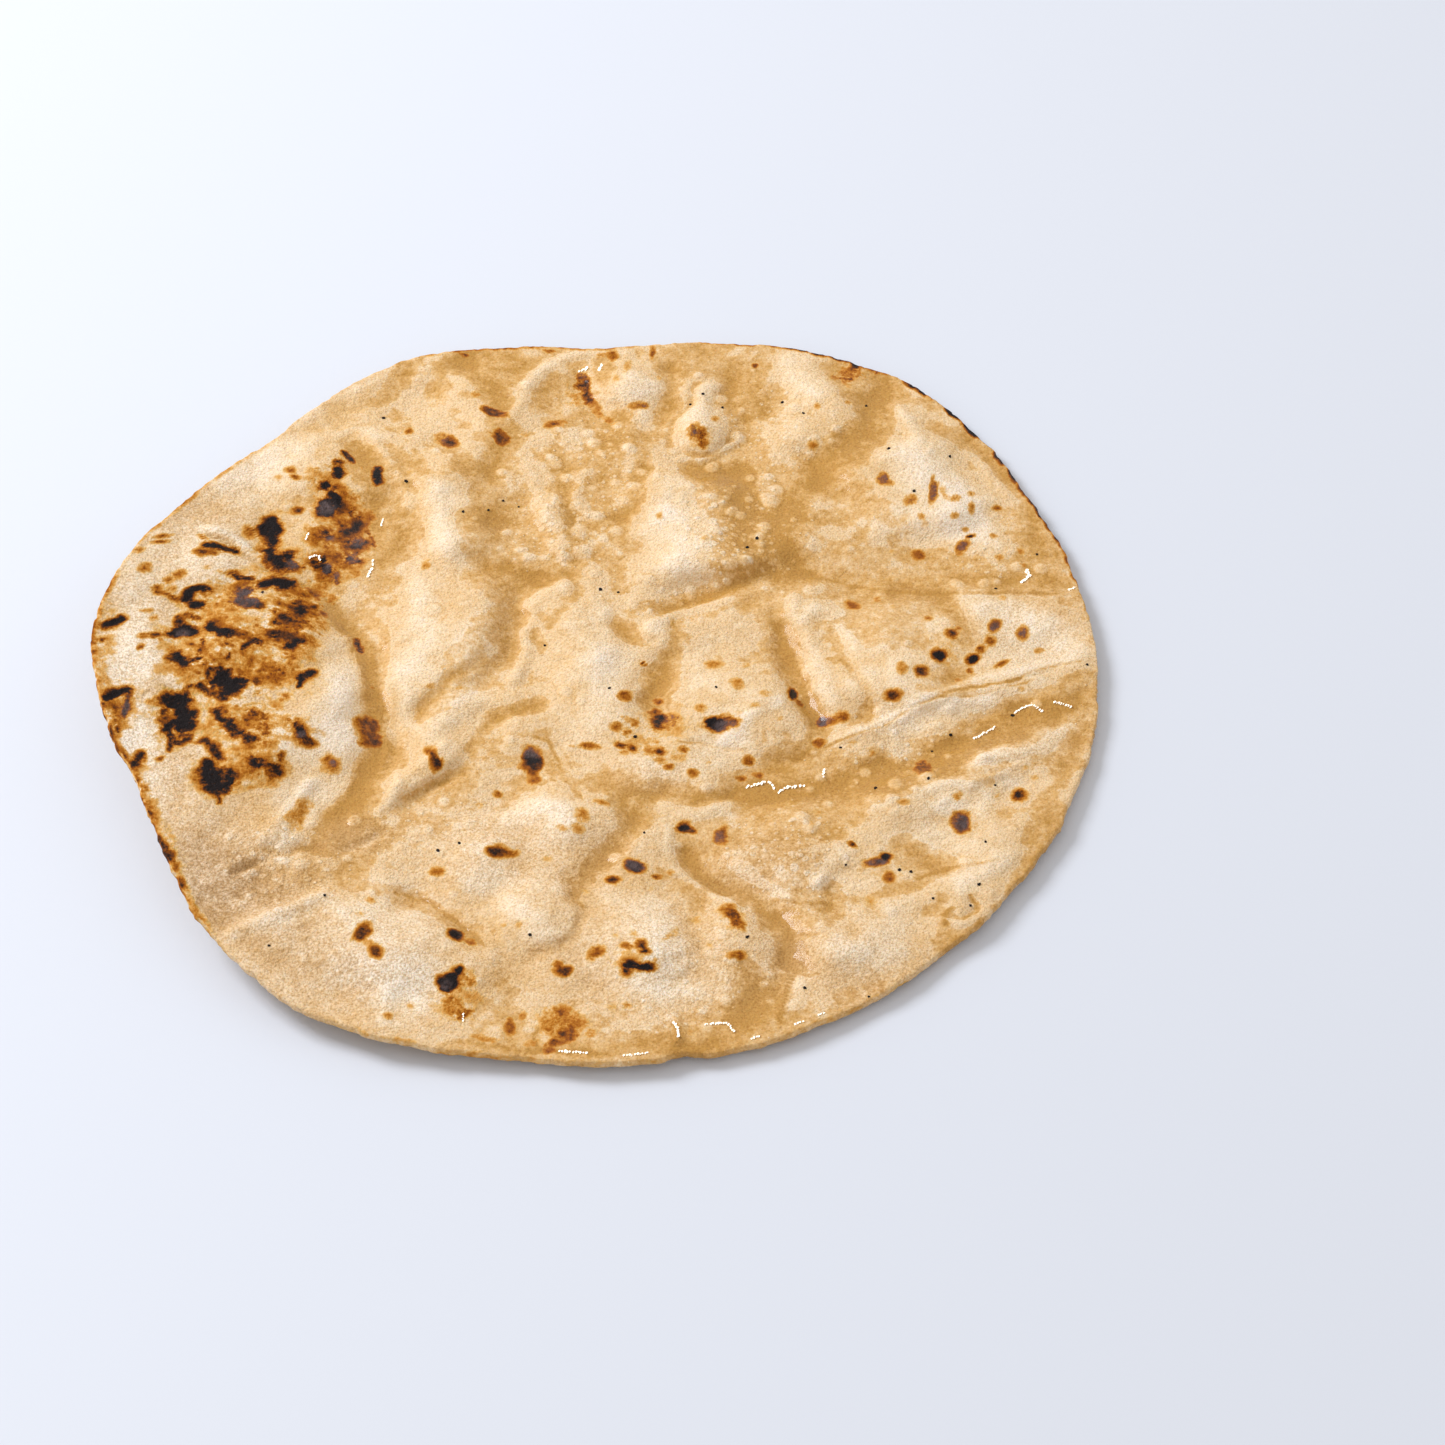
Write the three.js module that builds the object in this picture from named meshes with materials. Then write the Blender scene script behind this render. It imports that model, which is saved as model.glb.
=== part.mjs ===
// A puffed flatbread: one thin wavy disc of baked dough, in millimetres.
//
// The sheet is laid out on a flat plan of (u, v) places. Every form on it, a dome, a fold or the
// curled-up side, is a height over that plan, and the underside follows the top at the thickness
// of the dough until it meets the table. +X is right, +Y is back, +Z is up, and the origin is on
// the table under the middle of the sheet.

import * as THREE from 'three';

const TAU = 2 * Math.PI;
const DEGREE = Math.PI / 180;

// Driving sizes of the sheet.
const RADIUS = 101.3; // plain radius of the rolled disc
const REST_HEIGHT = 2.9; // height of the plain top face over the table
const LOWEST_TOP = 1.5; // no hollow in the top face goes below this
const DOUGH = 2.9; // thickness of the dough away from the edge
const EDGE_DOUGH = 1.7; // thickness of the rim
const EDGE_THINNING = 9; // the dough thins over this distance from the rim
const RIM_BULGE = 0.4; // the rim is rounded outwards by this much
const EDGE_CALM = 14; // domes and folds die away over this distance from the rim
const EDGE_SHARE = 0.35; // the share of their height that is left at the rim

// The outline: where the plain circle swells out (+) or is drawn in (-).
// [direction in degrees, half spread in degrees, swell]
const SWELLS = [
  [53, 19, 6],
  [91, 13, -4.6],
  [117, 10, 1.6],
  [138, 13, -3.4],
  [170, 13, 3.2],
  [203, 15, -5],
  [241, 16, 4.2],
  [284, 26, 3.2],
];

// The side that is curled up: direction, spread on either hand, height and start.
const CURL_DIRECTION = 184;
const CURL_SPREAD = 45;
const CURL_HEIGHT = 13;
const CURL_START = 30;
const CURL_POWER = 1.8;

// As the sheet rises it also leans towards this point, so that its raised parts hang forwards.
const LEAN_POINT = new THREE.Vector3(25.3, -561.8, 574.9);
const LEAN_FROM = 4; // height at which there is no lean

// The big blister on the curled side, a nearly level flap that ends in a step.
const FLAP_FOOT = [
  [-94, 40], [-80, 35.5], [-70, 30], [-62, 24], [-54, 16], [-48, 6],
  [-45, -6], [-42, -22], [-42, -34], [-48, -46], [-58, -56],
];
const FLAP_TOP = 6; // height that the flap adds to, at its inner edge
const FLAP_INNER = -58;
const FLAP_RISE = 0.09; // and how it rises for each mm from there to the rim
const FLAP_FALL = 0.09; // and falls for each mm towards the back
const FLAP_STEP = [8, 8, 13, 18, 20]; // width of the step, evenly along the foot
const FLAP_FADE = [-66, -6]; // the flap fades out between these v
const FLAP_RIM = 24; // and over this distance from the rim, where only the curl is left

// Domes: where steam has lifted the sheet.
// [u, v, half length, half width, turn in degrees, height]
const DOMES = [
  [5, 85, 11, 11, 0, 2.4],
  [21, 70, 10, 11, 0, 2],
  [26, -9, 15, 14, 0, 2.4],
  [84, 8, 20, 14, 0, 1.2],
  [-4, -41, 13, 13, 0, 2.8],
  [-10, -69, 12, 12, 0, 3],
  [-43, -76, 22, 16, -12, 2.8],
  [9, -75, 15, 13, 0, 2.2],
  [28, -70, 9, 11, 0, 1.7],
  [52, -77, 16, 13, 0, 2],
  [36, -54, 13, 12, 0, 1.8],
  [-58, 55, 18, 22, 25, 1.8],
  [-22, 72, 12, 14, 0, 1.2],
  [-20, -52, 14, 12, 0, 1],
];

// Folds: soft ridges (+) and creases (-) along a curve.
const FOLDS = [
  { path: [[-39, 66], [-34, 50], [-31, 36], [-29, 25]], height: 3, left: 13, right: 11 },
  { path: [[-31, 33], [-25, 18], [-26, 5], [-33, -8], [-41, -19]], height: 2.8, left: 9, right: 23 },
  { path: [[-5, 29], [-7, 15], [-5, 3], [-1, -12], [2, -26]], height: 1.9, left: 13, right: 12 },
  { path: [[-13, 52], [-9, 38], [-6, 28]], height: 1.3, left: 6, right: 6 },
  { path: [[13, 60], [18, 46], [22, 33], [18, 19]], height: 3.3, left: 20, right: 15 },
  { path: [[-4, 6], [10, 13.5], [20, 16.5], [31, 20], [43, 26], [54, 22], [75, 21], [99, 21]],
    height: -0.9, left: 9, right: 6 },
  { path: [[18, 7], [12, -6], [11, -21]], height: -1, left: 6, right: 7 },
  { path: [[37, 5], [36, -8], [31, -18], [25, -26]], height: 1.2, left: 10, right: 7 },
  { path: [[37, 17], [40, -4], [46, -19], [46, -27]], height: -1.1, left: 5, right: 5 },
  { path: [[62, 18], [60, 0], [56, -15]], height: 2.2, left: 30, right: 17 },
  { path: [[46, -23], [60, -15], [78, -6], [98, 2]], height: 0.7, left: 14, right: 14 },
  { path: [[14, -38], [30, -37], [48, -33], [63, -27], [78, -18], [99, -8]],
    height: -1.4, left: 12, right: 8 },
  { path: [[50, -43], [65, -37], [80, -28], [97, -20]], height: 1.5, left: 9, right: 9 },
  { path: [[60, 70], [68, 52], [75, 36]], height: 3.2, left: 17, right: 20 },
  { path: [[47, 92], [45, 74], [40, 61]], height: 2, left: 14, right: 10 },
  { path: [[-40, -61], [-27, -69], [-19, -79]], height: -0.9, left: 5, right: 5 },
  { path: [[13, -43], [23, -57], [36, -70], [39, -80], [33, -96]], height: -1.3, left: 7, right: 7 },
  { path: [[90, -36], [78, -55], [64, -73]], height: 2, left: 12, right: 13 },
  { path: [[-22, -8], [-31, -16], [-38, -26]], height: 1.4, left: 5, right: 6 },
  { path: [[-26, -21], [-34, -31], [-44, -41]], height: 1.7, left: 5, right: 7 },
  { path: [[-70, -76], [-58, -68], [-44, -61]], height: 1.4, left: 5, right: 12 },
];
const FOLD_TAPER = 0.27; // share of a fold's length over which each end dies away

// Ripples over the whole sheet: [wave length, height].
const RIPPLES = [
  [43, 0.35],
  [35, 0.32],
  [28, 0.28],
  [22, 0.24],
  [17, 0.2],
  [14, 0.16],
];
const GOLDEN_TURN = 2.399963; // turns each ripple away from the one before

// How finely the surface is split.
const RINGS = 26;
const SECTORS_A_RING = 6;
const CURVE_STEPS = 8;

function clamp(value, low, high) {
  return Math.min(high, Math.max(low, value));
}

function smooth(value) {
  const t = clamp(value, 0, 1);
  return t * t * (3 - 2 * t);
}

// 1 on the middle line, falling smoothly to 0 at the given reach.
function hump(distance, reach) {
  const rest = Math.max(0, 1 - (distance / reach) ** 2);
  return rest * rest;
}

// The points of a smooth curve through the given places.
function curvePoints(path) {
  const curve = new THREE.CatmullRomCurve3(
    path.map(([u, v]) => new THREE.Vector3(u, v, 0)), false, 'catmullrom', 0.5);
  const count = (path.length - 1) * CURVE_STEPS;
  return Array.from({ length: count + 1 }, (_, i) => curve.getPoint(i / count));
}

// Signed distance of (u, v) from a curve, + on its left, and how far along the nearest point is.
function nearest(points, u, v) {
  const best = { distance: Infinity, side: 1, along: 0 };
  const pieces = points.length - 1;
  for (let i = 0; i < pieces; i++) {
    const start = points[i];
    const du = points[i + 1].x - start.x;
    const dv = points[i + 1].y - start.y;
    const pu = u - start.x;
    const pv = v - start.y;
    const t = clamp((pu * du + pv * dv) / (du * du + dv * dv), 0, 1);
    const distance = Math.hypot(pu - t * du, pv - t * dv);
    if (distance < best.distance) {
      best.distance = distance;
      best.side = Math.sign(du * pv - dv * pu) || 1;
      best.along = (i + t) / pieces;
    }
  }
  return { offset: best.distance * best.side, along: best.along };
}

function domeHeight([du, dv, length, width, turn, height], u, v) {
  const c = Math.cos(turn * DEGREE);
  const s = Math.sin(turn * DEGREE);
  const p = ((u - du) * c + (v - dv) * s) / length;
  const q = ((v - dv) * c - (u - du) * s) / width;
  return height * hump(Math.hypot(p, q), 1);
}

function foldHeight(fold, u, v) {
  const first = fold.points[0];
  const last = fold.points[fold.points.length - 1];
  const chordU = last.x - first.x;
  const chordV = last.y - first.y;
  const t = ((u - first.x) * chordU + (v - first.y) * chordV) / (chordU ** 2 + chordV ** 2);
  const ends = smooth(t / FOLD_TAPER) * smooth((1 - t) / FOLD_TAPER);
  if (ends === 0) {
    return 0;
  }
  const { offset } = nearest(fold.points, u, v);
  return fold.height * ends * hump(offset, offset > 0 ? fold.left : fold.right);
}

function rippleHeight(u, v) {
  let height = 0;
  RIPPLES.forEach(([wave, depth], i) => {
    const across = u * Math.cos(GOLDEN_TURN * i) + v * Math.sin(GOLDEN_TURN * i);
    const bend = Math.sin(v / 17 + i) + Math.sin(u / 21 - i);
    height += depth * Math.sin((TAU * across) / wave + 1.7 * i + 0.8 * bend);
  });
  return height;
}

// Difference of two directions in degrees, from -180 to 180.
function turnBetween(a, b) {
  return ((((a - b) % 360) + 540) % 360) - 180;
}

function outlineRadius(direction) {
  let radius = RADIUS;
  for (const [at, spread, swell] of SWELLS) {
    radius += swell * Math.exp(-((turnBetween(direction, at) / spread) ** 2));
  }
  return radius;
}

// Height of the curled side alone, as the sheet bends up towards it.
function curlHeight(u, v) {
  const direction = Math.atan2(v, u) / DEGREE;
  const facing = Math.exp(-((turnBetween(direction, CURL_DIRECTION) / CURL_SPREAD) ** 2));
  const out = Math.max(0, (Math.hypot(u, v) - CURL_START) / (RADIUS - CURL_START));
  return CURL_HEIGHT * facing * out ** CURL_POWER;
}

const flapFoot = curvePoints(FLAP_FOOT);
const folds = FOLDS.map((fold) => ({ ...fold, points: curvePoints(fold.path) }));

// What the big blister adds to the curled side.
function flapHeight(u, v, fromRim, curl) {
  const { offset, along } = nearest(flapFoot, u, v);
  const place = along * (FLAP_STEP.length - 1);
  const i = Math.min(Math.floor(place), FLAP_STEP.length - 2);
  const step = FLAP_STEP[i] + (FLAP_STEP[i + 1] - FLAP_STEP[i]) * (place - i);
  const front = smooth((v - FLAP_FADE[0]) / (FLAP_FADE[1] - FLAP_FADE[0]));
  const share = smooth(-offset / step) * front * smooth(fromRim / FLAP_RIM);
  const level = FLAP_TOP + (FLAP_INNER - u) * FLAP_RISE - Math.max(0, v) * FLAP_FALL;
  return Math.max(0, level - curl) * share;
}

function topHeight(u, v, fromRim) {
  const curl = curlHeight(u, v);
  let relief = rippleHeight(u, v);
  for (const dome of DOMES) {
    relief += domeHeight(dome, u, v);
  }
  for (const fold of folds) {
    relief += foldHeight(fold, u, v);
  }
  relief *= EDGE_SHARE + (1 - EDGE_SHARE) * smooth(fromRim / EDGE_CALM);
  const height = REST_HEIGHT + curl + flapHeight(u, v, fromRim, curl) + relief;
  return Math.max(LOWEST_TOP, height);
}

// The three heights of the sheet at a place of the plan, and where the lean carries them.
function sheetAt(direction, share) {
  const radius = outlineRadius(direction);
  const u = radius * share * Math.cos(direction * DEGREE);
  const v = radius * share * Math.sin(direction * DEGREE);
  const fromRim = radius * (1 - share);
  const top = topHeight(u, v, fromRim);
  const dough = EDGE_DOUGH + (DOUGH - EDGE_DOUGH) * smooth(fromRim / EDGE_THINNING);
  const lean = (top - LEAN_FROM) / (LEAN_POINT.z - LEAN_FROM);
  return {
    x: u + (LEAN_POINT.x - u) * lean,
    y: v + (LEAN_POINT.y - v) * lean,
    top,
    under: Math.max(0, top - dough),
  };
}

// Splits the band between two rings of points into triangles that run the same way round.
function bandTriangles(inner, outer, addTriangle) {
  let i = 0;
  for (let j = 0; j < outer.length; j++) {
    const here = inner[i % inner.length];
    const next = outer[(j + 1) % outer.length];
    addTriangle(here, outer[j], next);
    if (inner.length > 1 && (i + 0.5) / inner.length < (j + 1) / outer.length) {
      i += 1;
      addTriangle(here, next, inner[i % inner.length]);
    }
  }
}

// Joins two rings of the same length, the lower one first, by a wall that faces out.
function wallTriangles(lower, upper, addTriangle) {
  for (let k = 0; k < lower.length; k++) {
    const next = (k + 1) % lower.length;
    addTriangle(lower[k], lower[next], upper[next]);
    addTriangle(lower[k], upper[next], upper[k]);
  }
}

function breadGeometry() {
  const positions = [];
  const triangles = [];
  const addPoint = (x, y, z) => positions.push(x, y, z) / 3 - 1;
  const addUp = (a, b, c) => triangles.push(a, b, c);
  const addDown = (a, b, c) => triangles.push(a, c, b);

  const tops = [];
  const unders = [];
  let rimPlaces = [];
  for (let ring = 0; ring <= RINGS; ring++) {
    const count = Math.max(1, ring * SECTORS_A_RING);
    const directions = Array.from({ length: count }, (_, k) => (360 * k) / count);
    const places = directions.map((direction) => sheetAt(direction, ring / RINGS));
    tops.push(places.map(({ x, y, top }) => addPoint(x, y, top)));
    unders.push(places.map(({ x, y, under }) => addPoint(x, y, under)));
    rimPlaces = places.map((place, k) => ({ ...place, direction: directions[k] }));
  }
  for (let ring = 1; ring <= RINGS; ring++) {
    bandTriangles(tops[ring - 1], tops[ring], addUp);
    bandTriangles(unders[ring - 1], unders[ring], addDown);
  }
  const rim = rimPlaces.map(({ x, y, top, under, direction }) => addPoint(
    x + RIM_BULGE * Math.cos(direction * DEGREE),
    y + RIM_BULGE * Math.sin(direction * DEGREE),
    (top + under) / 2));
  wallTriangles(unders[RINGS], rim, addUp);
  wallTriangles(rim, tops[RINGS], addUp);

  const geometry = new THREE.BufferGeometry();
  geometry.setAttribute('position', new THREE.Float32BufferAttribute(positions, 3));
  geometry.setIndex(triangles);
  geometry.computeVertexNormals();
  geometry.computeBoundingBox();
  const middle = geometry.boundingBox.getCenter(new THREE.Vector3());
  geometry.translate(-middle.x, -middle.y, 0);
  return geometry;
}

const crust = new THREE.MeshStandardMaterial({
  color: '#dcb685',
  roughness: 0.55,
  metalness: 0,
});

const chapati = new THREE.Mesh(breadGeometry(), crust);
chapati.name = 'chapati';

const bread = new THREE.Group();
bread.add(chapati);

export default bread;
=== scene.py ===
"""Looks of a chapati: a thin oiled flatbread with steam blisters, folds and scorched spots.

The sheet is laid out on a flat plan of (u, v) places in millimetres, as its CAD solid is, from the
same named forms, and then split far more finely. Scorch, oil and flour are fields over that plan.
The tables hold what was placed one by one from the photograph; all else is worked out from them.
"""

import math

import bpy
import numpy as np
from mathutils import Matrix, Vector


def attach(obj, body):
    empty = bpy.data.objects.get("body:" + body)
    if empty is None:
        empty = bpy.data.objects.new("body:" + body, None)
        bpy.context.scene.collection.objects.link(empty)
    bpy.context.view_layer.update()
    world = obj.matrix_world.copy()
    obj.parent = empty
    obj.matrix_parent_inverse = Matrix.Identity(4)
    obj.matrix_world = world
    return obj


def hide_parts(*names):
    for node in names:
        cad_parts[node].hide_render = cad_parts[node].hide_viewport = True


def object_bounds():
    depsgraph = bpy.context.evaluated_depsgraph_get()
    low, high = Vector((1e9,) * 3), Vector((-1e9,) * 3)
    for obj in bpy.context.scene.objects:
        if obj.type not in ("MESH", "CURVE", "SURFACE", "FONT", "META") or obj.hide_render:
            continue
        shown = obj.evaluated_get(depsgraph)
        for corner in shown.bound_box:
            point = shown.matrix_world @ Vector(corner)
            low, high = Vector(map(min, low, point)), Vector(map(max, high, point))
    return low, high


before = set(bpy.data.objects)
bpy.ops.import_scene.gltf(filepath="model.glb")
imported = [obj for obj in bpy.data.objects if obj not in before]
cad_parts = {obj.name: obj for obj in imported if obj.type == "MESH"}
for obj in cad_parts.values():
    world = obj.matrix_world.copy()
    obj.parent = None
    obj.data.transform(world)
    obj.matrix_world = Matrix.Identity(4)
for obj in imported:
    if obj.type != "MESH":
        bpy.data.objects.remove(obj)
cad_box = [[float(x) for x in corner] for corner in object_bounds()]

MM = 0.001
NODE = "chapati"

# ---- Driving sizes of the sheet, as in its CAD solid -----------------------------------------

RADIUS = 101.3
REST_HEIGHT = 2.9
LOWEST_TOP = 1.5
LOWEST_FINE_TOP = 0.8 * LOWEST_TOP  # with its finer relief
DOUGH = 2.9
EDGE_DOUGH = 1.7
EDGE_THINNING = 9
RIM_BULGE = 0.4
EDGE_CALM = 14
EDGE_SHARE = 0.35

# The outline's swells: direction, half spread (degrees), swell.
SWELLS = (
    (53, 19, 6),
    (91, 13, -4.6),
    (117, 10, 1.6),
    (138, 13, -3.4),
    (170, 13, 3.2),
    (203, 15, -5),
    (241, 16, 4.2),
    (284, 26, 3.2),
)

CURL_DIRECTION = 184
CURL_SPREAD = 45
CURL_HEIGHT = 13
CURL_START = 30
CURL_POWER = 1.8

LEAN_POINT = (25.3, -561.8, 574.9)  # raised parts lean towards it; the camera stands there
LEAN_FROM = 4

FLAP_FOOT = (
    (-94, 40), (-80, 35.5), (-70, 30), (-62, 24), (-54, 16), (-48, 6),
    (-45, -6), (-42, -22), (-42, -34), (-48, -46), (-58, -56),
)
FLAP_TOP = 6
FLAP_INNER = -58
FLAP_RISE = 0.09
FLAP_FALL = 0.09
FLAP_STEP = (8, 8, 13, 18, 20)
FLAP_FADE = (-66, -6)
FLAP_RIM = 24

# Domes: u, v, half length, half width, turn in degrees, height.
DOMES = (
    (5, 85, 11, 11, 0, 2.4),
    (21, 70, 10, 11, 0, 2),
    (26, -9, 15, 14, 0, 2.4),
    (84, 8, 20, 14, 0, 1.2),
    (-4, -41, 13, 13, 0, 2.8),
    (-10, -69, 12, 12, 0, 3),
    (-43, -76, 22, 16, -12, 2.8),
    (9, -75, 15, 13, 0, 2.2),
    (28, -70, 9, 11, 0, 1.7),
    (52, -77, 16, 13, 0, 2),
    (36, -54, 13, 12, 0, 1.8),
    (-58, 55, 18, 22, 25, 1.8),
    (-22, 72, 12, 14, 0, 1.2),
    (-20, -52, 14, 12, 0, 1),
)

# Folds: path, height, reach on the left, reach on the right.
FOLDS = (
    (((-39, 66), (-34, 50), (-31, 36), (-29, 25)), 3, 13, 11),
    (((-31, 33), (-25, 18), (-26, 5), (-33, -8), (-41, -19)), 2.8, 9, 23),
    (((-5, 29), (-7, 15), (-5, 3), (-1, -12), (2, -26)), 1.9, 13, 12),
    (((-13, 52), (-9, 38), (-6, 28)), 1.3, 6, 6),
    (((13, 60), (18, 46), (22, 33), (18, 19)), 3.3, 20, 15),
    (((-4, 6), (10, 13.5), (20, 16.5), (31, 20), (43, 26), (54, 22), (75, 21), (99, 21)), -0.9, 9, 6),
    (((18, 7), (12, -6), (11, -21)), -1, 6, 7),
    (((37, 5), (36, -8), (31, -18), (25, -26)), 1.2, 10, 7),
    (((37, 17), (40, -4), (46, -19), (46, -27)), -1.1, 5, 5),
    (((62, 18), (60, 0), (56, -15)), 2.2, 30, 17),
    (((46, -23), (60, -15), (78, -6), (98, 2)), 0.7, 14, 14),
    (((14, -38), (30, -37), (48, -33), (63, -27), (78, -18), (99, -8)), -1.4, 12, 8),
    (((50, -43), (65, -37), (80, -28), (97, -20)), 1.5, 9, 9),
    (((60, 70), (68, 52), (75, 36)), 3.2, 17, 20),
    (((47, 92), (45, 74), (40, 61)), 2, 14, 10),
    (((-40, -61), (-27, -69), (-19, -79)), -0.9, 5, 5),
    (((13, -43), (23, -57), (36, -70), (39, -80), (33, -96)), -1.3, 7, 7),
    (((90, -36), (78, -55), (64, -73)), 2, 12, 13),
    (((-22, -8), (-31, -16), (-38, -26)), 1.4, 5, 6),
    (((-26, -21), (-34, -31), (-44, -41)), 1.7, 5, 7),
    (((-70, -76), (-58, -68), (-44, -61)), 1.4, 5, 12),
)
FOLD_TAPER = 0.27

# Seeds of what is drawn or bent at random; the noises in the tables below have their own.
BLISTER_SEED, SCORCH_SEED, UNDER_SCORCH_SEED, UNDER_SPOT_SEED = 11, 21, 41, 44
STROKE_SEED, LINE_SEED, ISLAND_SEED = 61, 62, 72

RIPPLES = ((43, 0.35), (35, 0.32), (28, 0.28), (22, 0.24), (17, 0.2), (14, 0.16))
GOLDEN_TURN = 2.399963  # radians from one wave's direction to the next one's
RIPPLE_START = 1.7  # radians from one wave's start to the next one's
RIPPLE_BEND = 0.8  # radians by which slow waves bend each of them
SLOW_U, SLOW_V = 21, 17  # mm for a radian of the slow waves, along u and along v

# ---- Finer relief, only here -----------------------------------------------------------------

# Wrinkles, creases and small torn edges: path, height, reach on the left, reach on the right.
WRINKLES = (
    (((-85, 39.8), (-79.8, 37.2), (-76, 34.2), (-72, 30)), 0.9, 2.2, 1.4),
    (((-84, 38), (-79.2, 35.6), (-74.8, 32), (-70.4, 28), (-65.4, 24.4)), -0.7, 1.4, 1.6),
    (((-60, 20.5), (-53.5, 15.8), (-46, 6.7), (-44.2, -3), (-43.5, -11),
      (-40, -22), (-41, -31), (-42.8, -38)), -0.45, 2.4, 1.8),
    (((-57.7, 12.5), (-50.4, 4.2), (-47.6, -6), (-46.6, -13)), 0.35, 1.8, 1.6),
    (((-70, -57.5), (-66, -55), (-62, -53.5)), -0.6, 1.4, 1.2),
    (((-64.5, -50), (-60.5, -51.8), (-57, -50.6), (-52, -50.8)), -0.5, 2.2, 2.6),
    (((-72, -73.5), (-60, -67.5), (-49, -62)), 0.5, 1.2, 3),
    (((45, -24.5), (50, -21.6), (57, -19.4), (66, -13.2), (75, -9.6)), 0.22, 1.2, 1.5),
    (((52, -20), (62, -14.6), (70, -11)), 0.15, 1, 1),
    (((64, -13.4), (72, -9.4), (80, -7.2), (88, -3.6), (96, 0.4)), 0.2, 1.2, 1.5),
    (((74, -9.8), (82, -8.4), (91, -4.6), (98, -1)), 0.15, 1, 1.2),
    (((70, -28.3), (79, -28.6), (89, -25.8)), -0.35, 1.3, 1.3),
    (((69, -33.6), (75, -33.4), (83, -31)), 0.35, 1.2, 1.2),
    (((16, -22.8), (21, -22.8), (26, -24.4), (31, -24.8)), -0.35, 1.2, 1.4),
    (((35.5, 0), (38.5, -4.8), (40.5, -9.5), (44, -15)), -0.5, 1.2, 1.2),
    (((7, 7.6), (12.5, 12.2), (18, 14), (25, 16.3), (32, 19.2), (40, 23.8)), 0.4, 1.1, 2.6),
    (((12.5, 12.8), (14, 11.2), (15.5, 10)), -0.8, 0.8, 0.8),
    (((35, -63.6), (40, -64.9), (47, -65.2)), 0.3, 1, 1),
    (((63, -59), (70, -56.2), (79, -54.8)), 0.35, 1.3, 1.3),
    (((76, -60), (77.5, -65), (75, -69.5), (70, -71.6)), 0.6, 1.5, 1.8),
    (((73, -63), (73.5, -66.5), (71.5, -69)), -0.5, 1.3, 1.3),
    (((70, -66.4), (67.5, -68.5), (67.8, -71)), 0.4, 1.1, 1.1),
    (((-40, -61.5), (-33, -63.8), (-27, -69), (-21, -75.5)), -0.3, 1.2, 1.2),
    (((-50, -52), (-45, -50), (-40, -46.5)), -0.6, 1.6, 1.6),
    (((-28, -20.5), (-34, -28.5), (-41, -37)), 0.45, 1.4, 1.4),
    (((27, -60), (33, -66), (37, -72), (39, -79)), 0.4, 1.2, 2),
    (((38, -81.5), (37, -88), (36, -95)), 0.4, 1, 1.6),
    (((16.5, -93), (17.2, -98), (15.6, -102)), 0.7, 1.4, 1.4),
    (((52, 21.2), (64, 20.6), (82, 20.4), (98, 20.8)), 0.35, 1, 1.6),
    (((4, -58), (8, -50), (11, -43)), 0.3, 1.5, 2),
)
WRINKLE_TAPER = 0.22

# Round blisters that stand out: u, v, radius.
BLISTERS = (
    (-5, 38.5, 2.2), (-6, 46, 1.7), (-4, 32, 2.6), (29.5, 76.5, 1.3), (35.5, 47.5, 2.3), (23, 49, 1.6),
    (27, 28.5, 2.1), (43.5, -3, 2.6), (-8, 55, 1.8), (8, 57, 1.5), (-12, 30, 1.5), (52, 33, 1.4),
    (31, 55, 1.6), (33, 37, 1.5), (24, 22, 1.4), (8, 24, 1.5), (-20, 38, 1.6), (-2, 66, 1.7),
)
BLISTER_RISE = 0.26  # height for each mm of radius
BLISTER_TONE = -0.12
RISE_SOFTNESS, TONE_SOFTNESS = 1.5, 0.8  # how softly height and tone end at a blister's outline
SMALL_BLISTERS = 330
SMALL_BLISTER_RADII = (0.9, 2)
BLISTER_REACH = 1.0  # how far outside its outline a blister is still noted

# Where small blisters crowd: u, v, reach, weight. Elsewhere they are sparse.
BLISTERED = (
    (28, 38, 24, 1), (-8, 40, 20, 0.8), (0, 62, 26, 0.6), (36, 70, 26, 0.6), (12, 18, 16, 0.6),
    (40, -52, 22, 0.8), (60, -25, 26, 0.6), (20, -85, 26, 0.5), (-30, -50, 24, 0.4), (80, 30, 18, 0.5),
    (-61, -56, 19, 1),
)
SPARSE = 0.05
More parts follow.
